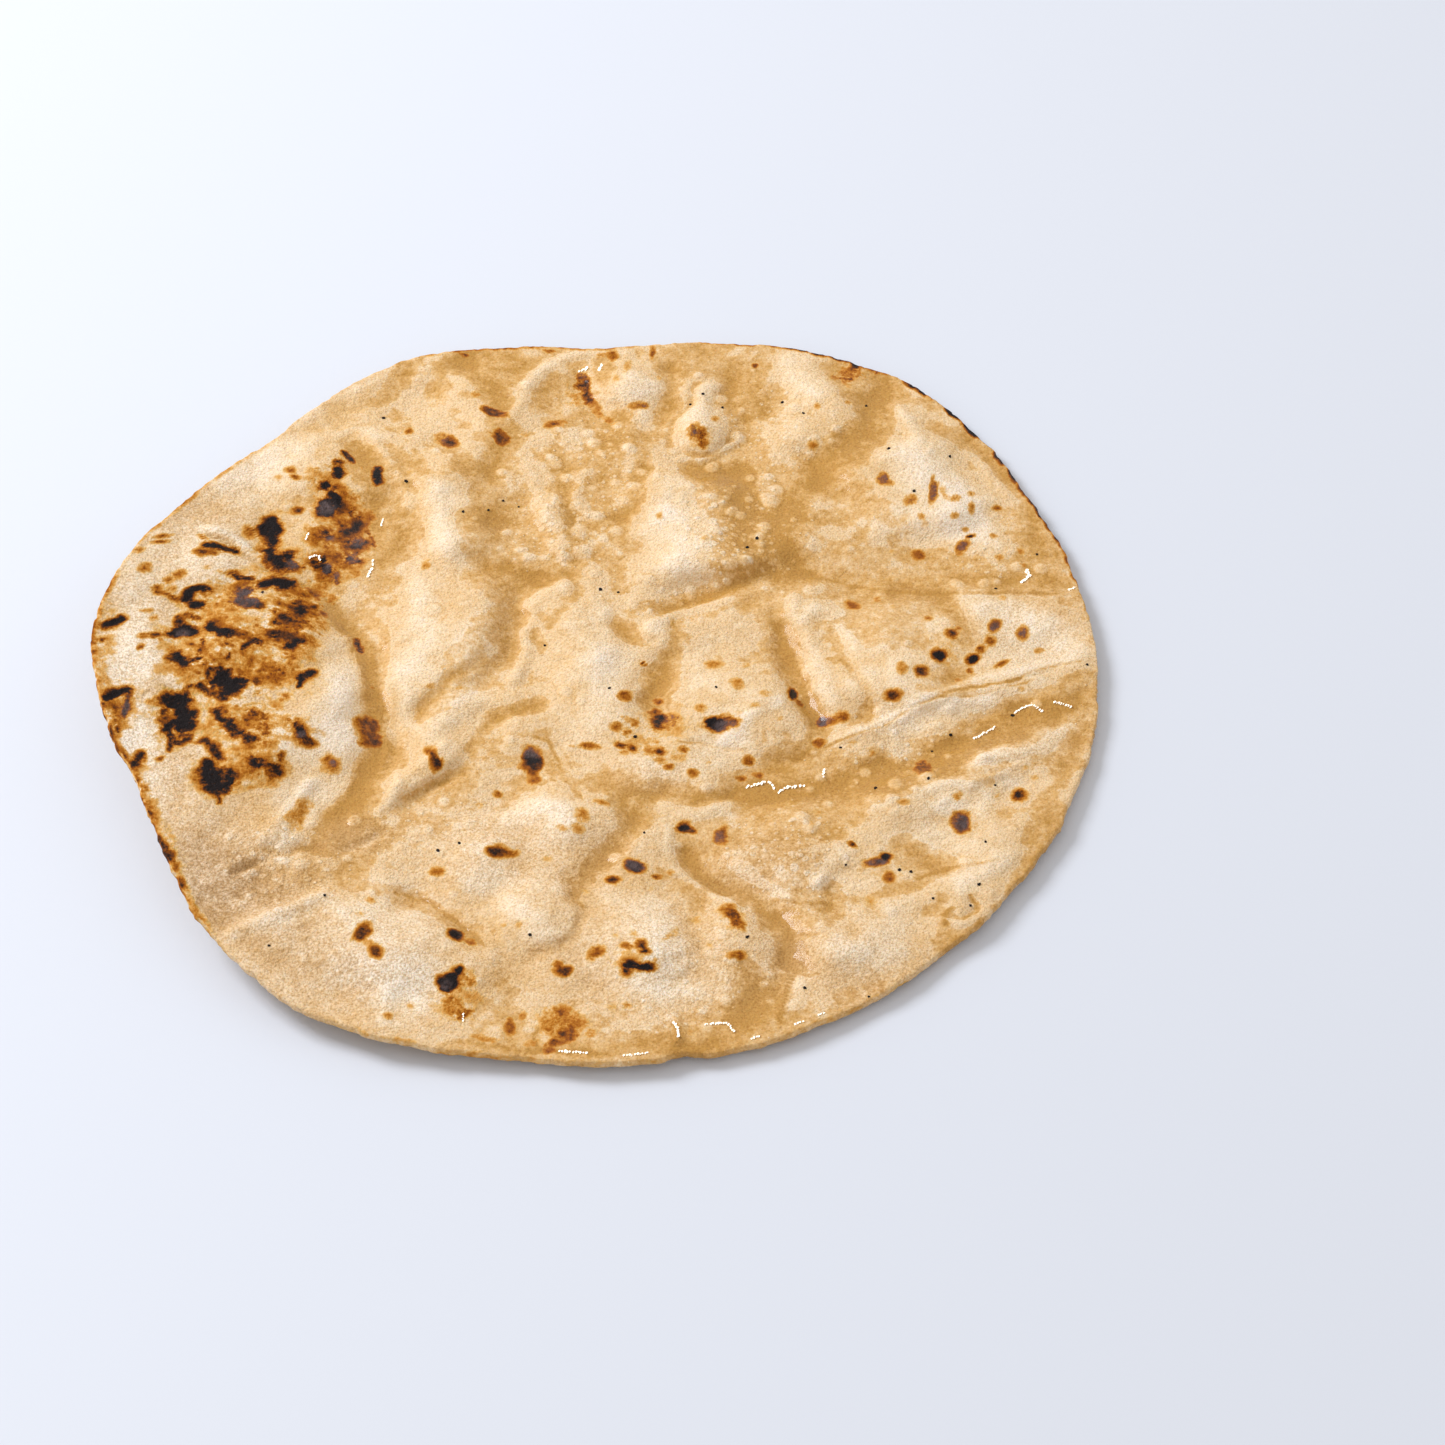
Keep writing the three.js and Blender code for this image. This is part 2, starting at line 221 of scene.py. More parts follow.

# Hollows (tone above 0: golden brown, partly soaked crust and partly painted shade on slopes turned
# from the light) and crests (tone below 0: cream, partly dry crust and partly painted light where the
# light falls on them), drawn as round-ended strokes: path, half width, tone, height.
STROKES = (
    (((-28, 42), (-24, 28), (-21, 15), (-19, 3), (-21, -4)), 6.5, 0.4, -0.3),
    (((-19, 28), (-16, 25), (-11, 23.5), (-7, 24)), 3.5, 0.5, -0.3),
    (((-7, 42), (-5.5, 34), (-5.5, 25)), 3, 0.45, -0.25),
    (((3, 42), (4, 37)), 3, 0.3, -0.1),
    (((-14, 16), (-11, 20), (-8, 21.6)), 3.6, -0.55, 0.5),
    (((-14.4, 14), (-14.8, 6), (-15.6, -1), (-17, -6)), 2.4, -0.35, 0.4),
    (((-24, 2), (-29, -4), (-34, -10), (-37, -17)), 2.8, 0.45, -0.3),
    (((-20, -16), (-16, -14), (-12, -12.5)), 3.6, 0.65, -0.35),
    (((-22, -19), (-25, -25)), 2.5, 0.3, -0.15),
    (((-4, 21), (-8, 15), (-10, 10)), 2.2, 0.35, -0.25),
    (((-13, 8), (-11, 4)), 1.8, 0.35, -0.15),
    (((2, 12), (6, 9), (9, 6.5)), 3.2, 0.6, -0.5),
    (((-1, 18), (1, 13)), 2.6, -0.4, 0.3),
    (((16, 9), (15, 3), (12.5, -4), (10.5, -12)), 3.6, 0.4, -0.25),
    (((23, 5), (20, -3), (18, -9)), 4, -0.3, 0),
    (((10, 15.5), (16, 15.2), (21, 18.4), (28, 22), (35, 26.5)), 3.2, 0.4, -0.2),
    (((22, 27), (29, 28), (37, 31)), 7, 0.35, -0.1),
    (((13, 12.2), (19, 14), (26, 17.2), (33, 20.4)), 2.6, -0.5, 0.2),
    (((9, 6.5), (11, 10.5)), 2.4, -0.45, 0.3),
    (((14, 42), (15, 33), (18, 25)), 6.5, -0.45, 0.2),
    (((-36, 53), (-36, 48), (-34, 40), (-32, 32)), 4.6, -0.4, 0.3),
    (((35.4, -14), (33, -20), (36, -28)), 4, 0.35, -0.2),
    (((37, -11), (32, -15), (28, -20), (25, -23)), 2.3, -0.5, 0.15),
    (((24, -29), (16, -31), (10, -29)), 3.4, -0.35, 0.1),
    (((-36, 91), (-28, 93), (-18, 92)), 4.5, 0.3, -0.1),
    (((-16, 84), (-13, 91), (-6, 95), (4, 95)), 2.6, -0.45, 0.3),
    (((-12, 87), (-14, 80), (-12, 74)), 4.4, 0.35, -0.2),
    (((2, 90), (5, 82), (6, 75)), 5.5, -0.35, 0.2),
    (((14, 90), (13.6, 82), (12, 75), (9, 68)), 4.2, 0.5, -0.4),
    (((22, 84), (20, 77), (19.6, 70)), 3.6, -0.45, 0.5),
    (((14.6, 73), (14.4, 66), (18, 62.4), (24, 62.6), (27, 67)), 1.3, 0.4, -0.35),
    (((15, 73), (17.6, 80), (20, 86)), 1.2, 0.35, -0.25),
    (((16, 60.4), (21, 60.4), (26, 64), (28.6, 69)), 1.4, -0.45, 0.35),
    (((19, 57.6), (25, 56.6), (30, 55)), 4.6, 0.65, -0.45),
    (((24, 54), (29, 50), (30, 42), (28, 36)), 6.5, 0.45, -0.2),
    (((-5, 70), (2, 66), (9, 62)), 3.6, 0.3, -0.15),
    (((-18, 66), (-10, 66), (-4, 61)), 2.4, -0.15, 0.2),
    (((-9, 58), (-8, 52), (-7, 46)), 3.2, 0.45, -0.3),
    (((-4, 56), (-5, 48), (-3, 42)), 2.2, -0.35, 0.3),
    (((8.4, 58), (7, 50), (4, 43)), 3.2, 0.55, -0.35),
    (((13, 48), (12, 43), (10, 38)), 4.2, -0.3, 0.2),
    (((-30, 58), (-26, 50), (-23, 42)), 5, 0.4, -0.2),
    (((-16, 58), (-14, 50), (-13, 42)), 2.6, -0.3, 0.2),
    (((28, 88), (27, 80), (30, 74)), 4.6, 0.4, -0.2),
    (((-24, 71), (-18, 78), (-17, 84)), 2.2, -0.3, 0.2),
    (((-60, 77), (-52, 78), (-46, 84), (-45, 90)), 3.6, 0.4, -0.15),
    (((-66, 72), (-56, 82), (-46, 90)), 2.4, -0.3, 0.1),
    (((-62, 68), (-54, 70), (-48, 67)), 3.4, -0.3, 0.2),
    (((-53, 65), (-51, 56), (-49, 47)), 5.5, 0.5, -0.2),
    (((-50, 67), (-45, 58), (-42, 49), (-42, 40)), 2.2, -0.15, 0.25),
    (((-88, 43), (-82, 47.5), (-77, 48)), 3.4, 0.15, -0.1),
    (((-84, 39.6), (-79.6, 37.2), (-76, 34.4), (-72.4, 30.6)), 1.8, -0.6, 0),
    (((-72, 62), (-70, 54)), 5, -0.25, 0.1),
    (((41, 95), (39, 88), (45, 82)), 5.5, -0.4, 0.2),
    (((34, 92), (33, 84), (34, 76)), 3.6, 0.35, -0.1),
    (((50, 90), (53, 84), (57, 76)), 4.4, 0.4, -0.25),
    (((61, 90), (59, 78), (56, 70), (50, 61), (42, 52), (38, 43)), 6.5, 0.55, -0.3),
    (((44, 75), (46, 66)), 3.6, 0.3, -0.1),
    (((63, 78), (66, 73), (68, 66)), 2.8, -0.35, 0.3),
    (((64, 62), (68, 56), (72, 50), (75, 43), (80, 37)), 7.5, -0.5, 0.2),
    (((70, 71), (76, 68), (82, 61), (87, 52), (90, 44), (92, 35)), 2.6, 0.4, -0.2),
    (((78, 63), (82, 56), (85, 49)), 2, -0.25, 0.15),
    (((38, 46), (44, 43), (50, 42)), 3.6, 0.3, -0.1),
    (((52, 70), (46, 60), (48, 50)), 5, 0.3, -0.1),
    (((36, 38), (40, 31), (42, 26)), 4.4, 0.55, -0.2),
    (((36, 23), (48, 26), (60, 25.6), (69, 22), (73, 16)), 4.6, 0.2, -0.05),
    (((63, 21), (69, 18), (73.6, 12), (76, 6)), 4.2, 0.4, -0.2),
    (((62, 30), (72, 26.6), (82, 23.4), (95, 22.4)), 3.6, 0.25, -0.1),
    (((86, 27), (92, 26), (96, 23)), 3.4, 0.3, -0.1),
    (((77, 17), (84, 14), (92, 8), (96, 3)), 6.5, -0.5, 0.15),
    (((40, 18), (41, 12), (46, 16), (50, 14)), 2.6, -0.4, 0.25),
    (((44, 4), (45, -4), (46, -12)), 3.4, -0.45, 0.3),
    (((50, 10), (52, 4)), 2.4, -0.35, 0.2),
    (((36, 14), (37, 8), (39.4, 0), (42, -10), (44, -17)), 2.6, 0.45, -0.3),
    (((50, 1), (53, -5), (55, -12), (51, -18)), 2.4, 0.35, -0.2),
    (((46, -22.6), (56, -18), (66, -11), (76, -6), (88, -3), (98, 1)), 2.3, -0.35, 0.15),
    (((84, -6.6), (90, -8.4), (97, -4)), 2.6, 0.25, -0.1),
    (((58, -17), (64, -14.4), (70, -14), (78, -11)), 4.4, -0.25, 0),
    (((76, -15), (84, -15.4), (92, -14), (98, -10)), 5, 0.35, -0.1),
    (((60, -25), (66, -24), (74, -24), (84, -21)), 4, 0.3, -0.1),
    (((76, -28), (82, -26), (88, -24)), 3, -0.6, 0.25),
    (((90, -22), (95, -18)), 3.4, -0.4, 0.2),
    (((59, -21), (59.6, -29)), 1.3, -0.4, 0.2),
    (((1, -33), (8, -35), (16, -37), (24, -37.4), (36, -37),
      (48, -34), (60, -29), (72, -24)), 3.8, 0.5, -0.2),
    (((5, -38), (8.4, -44), (6, -50), (0, -56), (-4, -60)), 4, 0.55, -0.4),
    (((-15, -43), (-9, -40), (-6, -45)), 4.6, -0.45, 0.2),
    (((2, -64), (8, -66), (14, -66)), 4.4, -0.35, 0.15),
    (((-15, -66), (-11, -68), (-9, -74)), 4.4, -0.4, 0.2),
    (((-4, -63), (-1.8, -68), (-4, -74), (-10, -77)), 2.2, 0.45, -0.3),
    (((-18, -72), (-17, -78)), 1.8, 0.35, -0.2),
    (((-38, -65), (-31, -67.4), (-25, -73)), 2.6, 0.3, -0.2),
    (((18, -52), (20, -57), (25, -61.4), (31, -66), (37, -72), (37, -80)), 2.8, 0.5, -0.3),
    (((15, -46), (16, -57), (23, -63), (27, -67)), 1.6, -0.35, 0.25),
    (((28, -56), (32, -60), (37, -64)), 2.8, -0.35, 0.2),
    (((17, -66), (19.4, -70), (21, -76)), 2.2, 0.35, -0.2),
    (((6, -84), (12, -88), (20, -88)), 5, -0.35, 0.1),
    (((28, -80), (30, -86), (29, -94)), 4.6, 0.45, -0.2),
    (((24, -100), (17, -102)), 3, 0.4, -0.1),
    (((-24, -99), (-10, -101.4), (4, -103)), 1.4, 0.45, -0.1),
    (((14, -38.4), (20, -42), (26, -40)), 3, -0.4, 0.3),
    (((-27, -31), (-32, -34), (-37, -38)), 2.6, 0.4, -0.25),
    (((-44, -38), (-48, -44), (-53, -50)), 4.6, 0.35, -0.15),
    (((-39.6, -31), (-40, -37), (-41.6, -41)), 1.8, -0.4, 0.2),
    (((-56, -34), (-60, -42), (-63, -47)), 3, -0.45, 0.3),
    (((-69, -57.4), (-65.6, -55.6)), 1.5, 1, -0.3),
    (((-72, -44), (-70, -52)), 6, 0.3, 0),
    (((-67, -62), (-60, -60), (-54, -58)), 5, 0.35, -0.1),
    (((-74, -62), (-70, -68)), 4.4, 0.25, -0.1),
    (((-70, -74), (-60, -68), (-52, -64)), 2.2, -0.35, 0.3),
    (((-50, -66), (-44, -68)), 4.4, -0.3, 0.15),
    (((-56, -72), (-52, -76), (-54, -82)), 5, 0.25, -0.1),
    (((-42, -86), (-46, -88)), 3.6, 0.3, -0.1),
    (((-38, -89), (-38, -94)), 2.6, -0.35, 0.15),
    (((48, -50), (46, -56), (42, -60)), 2.6, -0.4, 0.25),
    (((60, -50), (66, -54), (69, -58)), 2.8, 0.3, -0.1),
    (((64, -36), (70, -34), (76, -36), (77, -42)), 2.6, -0.4, 0.2),
    (((58, -66), (64, -64), (74, -58), (80, -54)), 3.4, -0.45, 0.3),
    (((68, -70), (72, -71), (76, -67)), 1.4, -0.5, 0.3),
    (((46, -62), (46, -68), (50, -72)), 3.4, 0.4, -0.2),
    (((44, -76), (52, -78), (60, -76)), 4.4, -0.3, 0.15),
    (((40, -84), (38, -91)), 2.6, -0.4, 0.2),
    (((70, -77), (79, -67), (86, -55), (91, -43)), 4, 0.4, -0.1),
    (((-56, 15), (-50.5, 8), (-47.8, 2), (-45.4, -10), (-44, -18),
      (-44.4, -30), (-46.5, -37), (-51, -43)), 3.4, 0.7, -0.2),
    (((-53.4, 5), (-51.4, -5), (-50.4, -16), (-50.6, -27)), 4.4, -0.4, 0.3),
    (((-76, -50), (-70, -58), (-62, -62)), 9, 0.3, 0),
    (((-38, 22), (-36, 8), (-38, -2)), 5, -0.3, 0.1),
    (((-46, 28), (-42, 34), (-42, 42)), 3.6, 0.35, -0.1),
    (((-32, 93), (-27, 85), (-23, 77), (-21.6, 67), (-24, 57)), 4.6, 0.5, -0.2),
    (((43, -13), (44, -21), (41, -27)), 3.6, 0.45, -0.15),
    (((29, -48), (38, -50), (47, -47)), 5, 0.35, -0.1),
    (((-16, -84), (-8, -87)), 5, 0.3, -0.1),
    (((-76, -66), (-66, -73), (-58, -80)), 4.6, 0.3, -0.1),
    (((84, -48), (92, -34), (97, -22)), 3.4, 0.4, -0.1),
    (((-90, 42), (-80, 53), (-67, 66)), 6.5, -0.3, 0),
    (((0, 13), (1, 2), (1.5, -9)), 4.4, -0.3, 0.1),
    (((43, -60), (53, -60)), 4, -0.3, 0.1),
    (((-43, -60), (-34, -60)), 3.6, -0.3, 0.1),
    (((-37, -86), (-31, -91)), 4, -0.4, 0.1),
    (((66, -47), (74, -50)), 5, -0.3, 0.1),
    (((70, -12.6), (80, -10), (92, -6.6)), 3.2, -0.3, 0),
    (((50, -27), (62, -20), (78, -12), (97, -3)), 6, 0, 0.35),
    (((44, 28), (56, 29)), 4, -0.25, 0),
    (((-41, 3), (-39.4, -8), (-38.4, -18)), 2.6, -0.3, 0.15),
    (((-52, -8), (-49.6, -18), (-50, -30), (-55, -42), (-60, -52)), 5, -0.4, 0),
    (((54, -14), (66, -6), (80, 0), (94, 6)), 6, 0, -0.3),
    (((56, -28), (68, -22), (82, -17), (94, -11)), 5, 0, 0.3),
)
STROKE_RISE = 1.6
STROKE_WAVES = ((6, 0.9), (2.6, 0.5))  # what bends them: patch size and reach

# Thin golden wrinkle lines, partly oil, partly painted shade in creases: path, half width, tone, height.
LINES = (
    (((45.5, -24.6), (50, -22), (57, -18.8), (62, -15.2)), 0.7, 0.7, -0.12),
    (((61, -15.4), (66, -11.8), (70, -9.7)), 0.6, 0.6, -0.1),
    (((70, -9), (78, -7.2), (84, -5.8), (90, -3), (98, -0.4)), 0.6, 0.7, -0.12),
    (((73, -10.4), (80, -8.8), (88, -6.2)), 0.6, 0.6, -0.1),
    (((66, -12.2), (74, -8), (81, -6.9), (86, -5)), 0.5, 0.5, -0.08),
    (((46.5, 0.8), (49, 1), (50.6, -1.2)), 0.5, 0.6, -0.08),
    (((16.5, -22.6), (21, -22.8), (26, -24.6), (30, -24.8)), 0.7, 0.5, -0.12),
    (((14, 12.2), (14.8, 10.4)), 0.5, 1.4, -0.3),
    (((-12, -21.5), (-9.5, -22.2), (-8, -26), (-6.8, -30)), 0.6, 0.6, -0.12),
    (((63, -59), (70, -56.2), (79, -54.8)), 0.6, 0.6, -0.1),
    (((70, -66.4), (67.5, -68.5), (68, -71)), 0.6, 0.8, -0.12),
    (((73, -63), (74, -66.5), (71.5, -69)), 0.6, 0.8, -0.12),
    (((35, -64.4), (41, -65.4), (46, -65)), 0.5, 0.5, -0.1),
    (((-38, -62.6), (-31, -65), (-25, -70.6), (-20, -76)), 0.6, 0.6, -0.12),
    (((-83, 37.4), (-79, 35.4), (-74.8, 32), (-70.5, 28),
      (-65.5, 24.4), (-59.8, 20.4), (-54.4, 16.4)), 0.8, 1, -0.2),
    (((-80, 38.8), (-75, 35.6), (-70.4, 31)), 0.5, 0.5, -0.15),
    (((-61, 22), (-55, 14.4), (-50.4, 6), (-48, -2)), 0.5, 0.6, -0.12),
    (((-59.6, 19), (-53.4, 9.6), (-50, 2)), 0.5, 0.5, -0.1),
    (((-65, -50.6), (-60.5, -52.2), (-57, -50.8), (-53, -51.2)), 1.3, 0.8, -0.3),
    (((38.6, -82), (37, -89), (36, -95)), 0.6, 0.5, -0.12),
    (((-9, -96), (-9.6, -98.6), (-9, -101)), 0.5, 1, -0.2),
    (((16, -93), (17, -98)), 0.6, 0.6, -0.15),
    (((-62, 70), (-56, 70.6), (-50, 72.4)), 0.5, 0.3, -0.1),
    (((-58, 66), (-53, 69)), 0.5, 0.3, -0.1),
    (((-2, -38.6), (-6, -33), (-12, -34)), 0.5, 0.3, -0.08),
    (((42, 26), (52, 21.6), (64, 20), (80, 19.6), (96, 19.8)), 0.7, 0.5, -0.1),
)
LINE_WAVES = ((2.6, 0.3),)

# Fine unevenness: patch size, seed, and height or tone.
CRUMB = ((7, 1, 0.14), (3.4, 2, 0.14), (1.7, 3, 0.08))
CRUMB_TONES = ((7, 1, -0.1), (3.4, 2, -0.16), (1.7, 3, -0.1))
FINE_CALM = 2.5  # from the rim inwards

# Broad places that are deeper (+) or paler (-), partly the crust's own tone and partly painted
# light and shade, such as paler colour on slopes turned from the key light: u, v, half length, half
# width, tone, and a turn in degrees for those that have one.
TONE_AND_PAINTED_LIGHT = (
    (-38, 58, 18, 8, 0.3), (2, 62, 12, 12, 0.3), (29, 42, 8, 16, 0.25), (56, 61, 8, 13, 0.2),
    (-22, 86, 8, 10, 0.15), (14, 95, 18, 6, 0.12), (-13, 16, 5, 10, 0.2), (-52, -46, 8, 6, 0.14),
    (-62, -66, 14, 9, 0.14), (42, -46, 16, 7, 0.14, 10), (42, -80, 9, 7, 0.12), (31, -90, 8, 8, 0.3),
    (92, 30, 6, 9, 0.18), (63, 5, 14, 7, 0.12), (92, -13, 8, 4, 0.15), (-30, 13, 7, 15, 0.18),
    (-16, -87, 8, 5, 0.1), (1, -52, 6, 8, 0.2, 20), (66, -77, 14, 6, 0.15, 45), (-32, 34, 8, 12, 0.06),
    (-46, -40, 5, 8, 0.14), (-13, 27, 6, 9, 0.12), (56, 50, 7, 7, 0.14), (30, 28, 7, 8, 0.14),
    (42, -76, 7, 7, 0.12), (73, 4, 5, 5, 0.12), (0, 90, 4, 6, 0.12), (40, 73, 7, 6, 0.08),
    (-48, -54, 10, 7, 0.14), (-56, -70, 9, 7, 0.12), (38, -53, 8, 5, 0.14), (66, -29, 8, 4, 0.12, 20),
    (22, 44, 8, 7, 0.1), (62, 66, 7, 8, 0.12), (-64, 24, 8, 5, 0.12), (-50, 60, 8, 8, 0.1),
    (-25, -4, 6, 12, -0.14), (-4, -24, 6, 8, -0.14), (-35, -68, 9, 7, -0.12), (-76, 34, 7, 6, -0.14),
    (76, 44, 8, 12, -0.45), (-94, -24, 9, 20, -0.7, 20), (-60, -22, 11, 9, -0.45), (62, 24, 14, 6, -0.12),
    (5, 0, 6, 6, -0.15), (28, -18, 7, 8, -0.1), (-12, 76, 5, 7, -0.12), (-96, 0, 7, 46, -0.5),
    (-54, -16, 5, 14, -0.3), (-58, -38, 7, 8, -0.3), (2, -14, 7, 24, -0.2), (27, -25, 9, 7, -0.35),
    (62, -19, 11, 7, -0.15, 30), (78, -9, 10, 7, -0.1, 25), (66, 26, 12, 8, -0.12),
    (-2, 42, 12, 10, 0.12), (-23, 70, 8, 8, 0.16), (-40, 46, 6, 10, 0.1), (20, 90, 6, 8, 0.1),
    (40, 42, 10, 6, 0.14), (34, -55, 8, 5, 0.12), (52, -38, 8, 4, 0.12, 20), (50, -62, 5, 5, -0.12),
    (-33, -88, 7, 6, -0.2), (13, -86, 8, 7, -0.16), (-24, 32, 5, 6, -0.06), (88, 2, 8, 9, -0.25),
    (50, 24, 9, 5, -0.12), (-22, -6, 7, 8, -0.12), (-35, -66, 9, 6, -0.2), (-34, -86, 9, 8, -0.2),
    (13, -74, 8, 16, -0.2), (65, -48, 8, 6, -0.14), (-52, 78, 16, 8, -0.15, 30),
    (-75, 55, 10, 10, -0.25, 30), (-84, 30, 12, 11, -0.3), (14, 22, 6, 6, -0.1), (-8, 78, 5, 8, -0.1),
    (28, 8, 6, 12, -0.1), (-52, 14, 6, 8, -0.1), (86, -35, 9, 6, -0.1), (-38, 76, 6, 5, -0.3),
    (4, 61, 5, 7, -0.2), (-5, 69, 5, 4, -0.25), (10, 85, 4, 6, -0.12), (1, 88, 4, 5, 0.2),
    (-14, 86, 4, 5, -0.12), (31, 58, 5, 6, 0.12), (54, 51, 5, 7, 0.12), (40, 37, 6, 4, 0.14),
    (40, 5, 5, 4, 0.12), (88, 22, 6, 4, 0.12), (68, -30, 6, 3, 0.3, 20), (65, -63, 6, 5, 0.2),
    (42, -73, 5, 4, 0.12), (27, -89, 8, 6, -0.2), (30, 20, 9, 3, 0.2, 20), (68, -13, 8, 4, -0.1, 20),
    (78, -15, 6, 3, -0.25, 20), (45, -55, 5, 4, 0.12), (-90, -8, 4, 5, 0.35), (24, -17, 8, 5, -0.12),
    (-20, -60, 7, 5, -0.25), (-10, -89, 6, 5, -0.25), (-60, -70, 6, 4, -0.15), (14, -100, 8, 3, 0.3),
    (-75, 52, 8, 8, -0.15), (20, 45, 6, 7, -0.12), (60, -71, 7, 4, -0.2), (66, -4, 9, 5, 0.12, 20),
    (28, -16, 8, 3, -0.12), (-28, -15, 5, 4, -0.2), (62, -25, 5, 4, -0.15), (67, -52, 6, 4, -0.15),
    (70, -40, 4, 4, -0.15), (-20, -50, 4, 4, -0.12), (0, -48, 5, 4, -0.15), (-42, -48, 6, 5, 0.15),
    (-40, -26, 3, 6, 0.14), (-72, -20, 9, 8, 0.15), (-80, -10, 7, 7, 0.12), (-76, 14, 8, 8, 0.1),
    (-66, 30, 6, 6, 0.1), (70, -17, 12, 6, -0.16, 20), (62, -20, 5, 4, -0.3), (22, 25, 7, 4, -0.25),
    (31, 24, 6, 3, -0.15), (85, -23, 5, 4, 0.25, 20), (83, -34, 5, 4, -0.25), (70, -39, 6, 4, -0.25),
    (74, -4, 5, 4, 0.25), (-29, -4, 4, 5, 0.15), (78, -12, 7, 4, -0.2, 20), (68, 41, 12, 6, -0.12),
    (-5, 68, 5, 5, -0.15), (-40, -29, 4, 9, 0.15), (-46, -47, 7, 5, 0.15), (-57, -32, 4, 7, -0.2),
    (-58, -41, 4, 5, -0.15), (27, -45, 6, 4, -0.15), (63, -26, 6, 3, -0.2, 20), (75, -28, 4, 3, 0.15, 20),
    (57, -35, 6, 3, 0.12, 20), (72, -41, 5, 4, -0.15), (82, -37, 4, 4, -0.12), (-31, -82, 4, 6, -0.15),
    (70, 37, 9, 4, -0.18), (56, 45, 6, 5, 0.15), (53, 60, 5, 5, 0.12), (-64, 28, 4, 3, 0.2),
    (-38, 40, 4, 8, 0.12), (70, -10, 7, 4, 0.06, 20), (60, 44, 5, 4, 0.08), (24, 62, 4, 5, -0.15),
    (5, 57, 4, 7, -0.12), (-72, -45, 5, 5, -0.3), (-64, -46, 4, 4, 0.3), (36, 46, 5, 4, -0.15),
    (44, 30, 5, 4, -0.15), (56, -34, 6, 3, 0.12, 20), (-60, -62, 5, 4, -0.12), (-90, -2, 4, 4, -0.45),
    (-66, -55, 5, 3, 0.3, 40), (-58, -42, 3, 4, -0.15, 20), (71, 47, 5, 5, 0.3), (30, 18, 5, 5, 0.3),
    (70, -12, 5, 4, 0.1, 20), (62, -26, 5, 3, -0.35, 20), (60, -35, 6, 3, 0.3, 20),
    (29, -46, 5, 3, -0.25), (4, 74, 4, 4, 0.45), (-9, 72, 4, 4, 0.12), (9, 72, 3, 4, -0.35),
    (0, 90, 4, 4, 0.12), (10, 82, 3, 5, -0.2), (-23, -75, 3, 3, 0.35), (-72, 7, 4, 3, -0.2),
)
TONE_AND_PAINTED_LIGHT_SHARE = 1.5

# ---- Scorch ----------------------------------------------------------------------------------

# How hot a place got, by its colour.
GOLD, PALE, AMBER, TAN, NUT, BROWN = 0.2, 0.3, 0.33, 0.44, 0.46, 0.56
RUST, RUSSET, CHESTNUT, UMBER, DARK, BLACK = 0.66, 0.68, 0.7, 0.74, 0.8, 1.08
CHAR_OUTLINE, OUTLINE = 0.62, 0.36  # heat on a spot's outline, on the flap and elsewhere
FAINT_OUTLINE = 0.6  # and at most, as a share of the spot's own heat
CHAR_FRINGE, FRINGE = 1.5, 1  # width of the browning round it
FRINGE_FALL = 1.4
FRINGE_REACH = 1.6  # how far out a bent outline is looked for, in fringes
CORE_SHARE, CORE_RADIUS = 0.5, 2  # share of the radius over which a spot gets its full heat
STROKE_BEND, MOST_STROKE_BEND = 0.7, 0.9  # how far noise bends an outline, for each mm of width
SPOT_BEND, MOST_SPOT_BEND = 0.17, 1
WARPS = ((2.6, 1), (1.1, 0.5))  # this noise: patch size, share

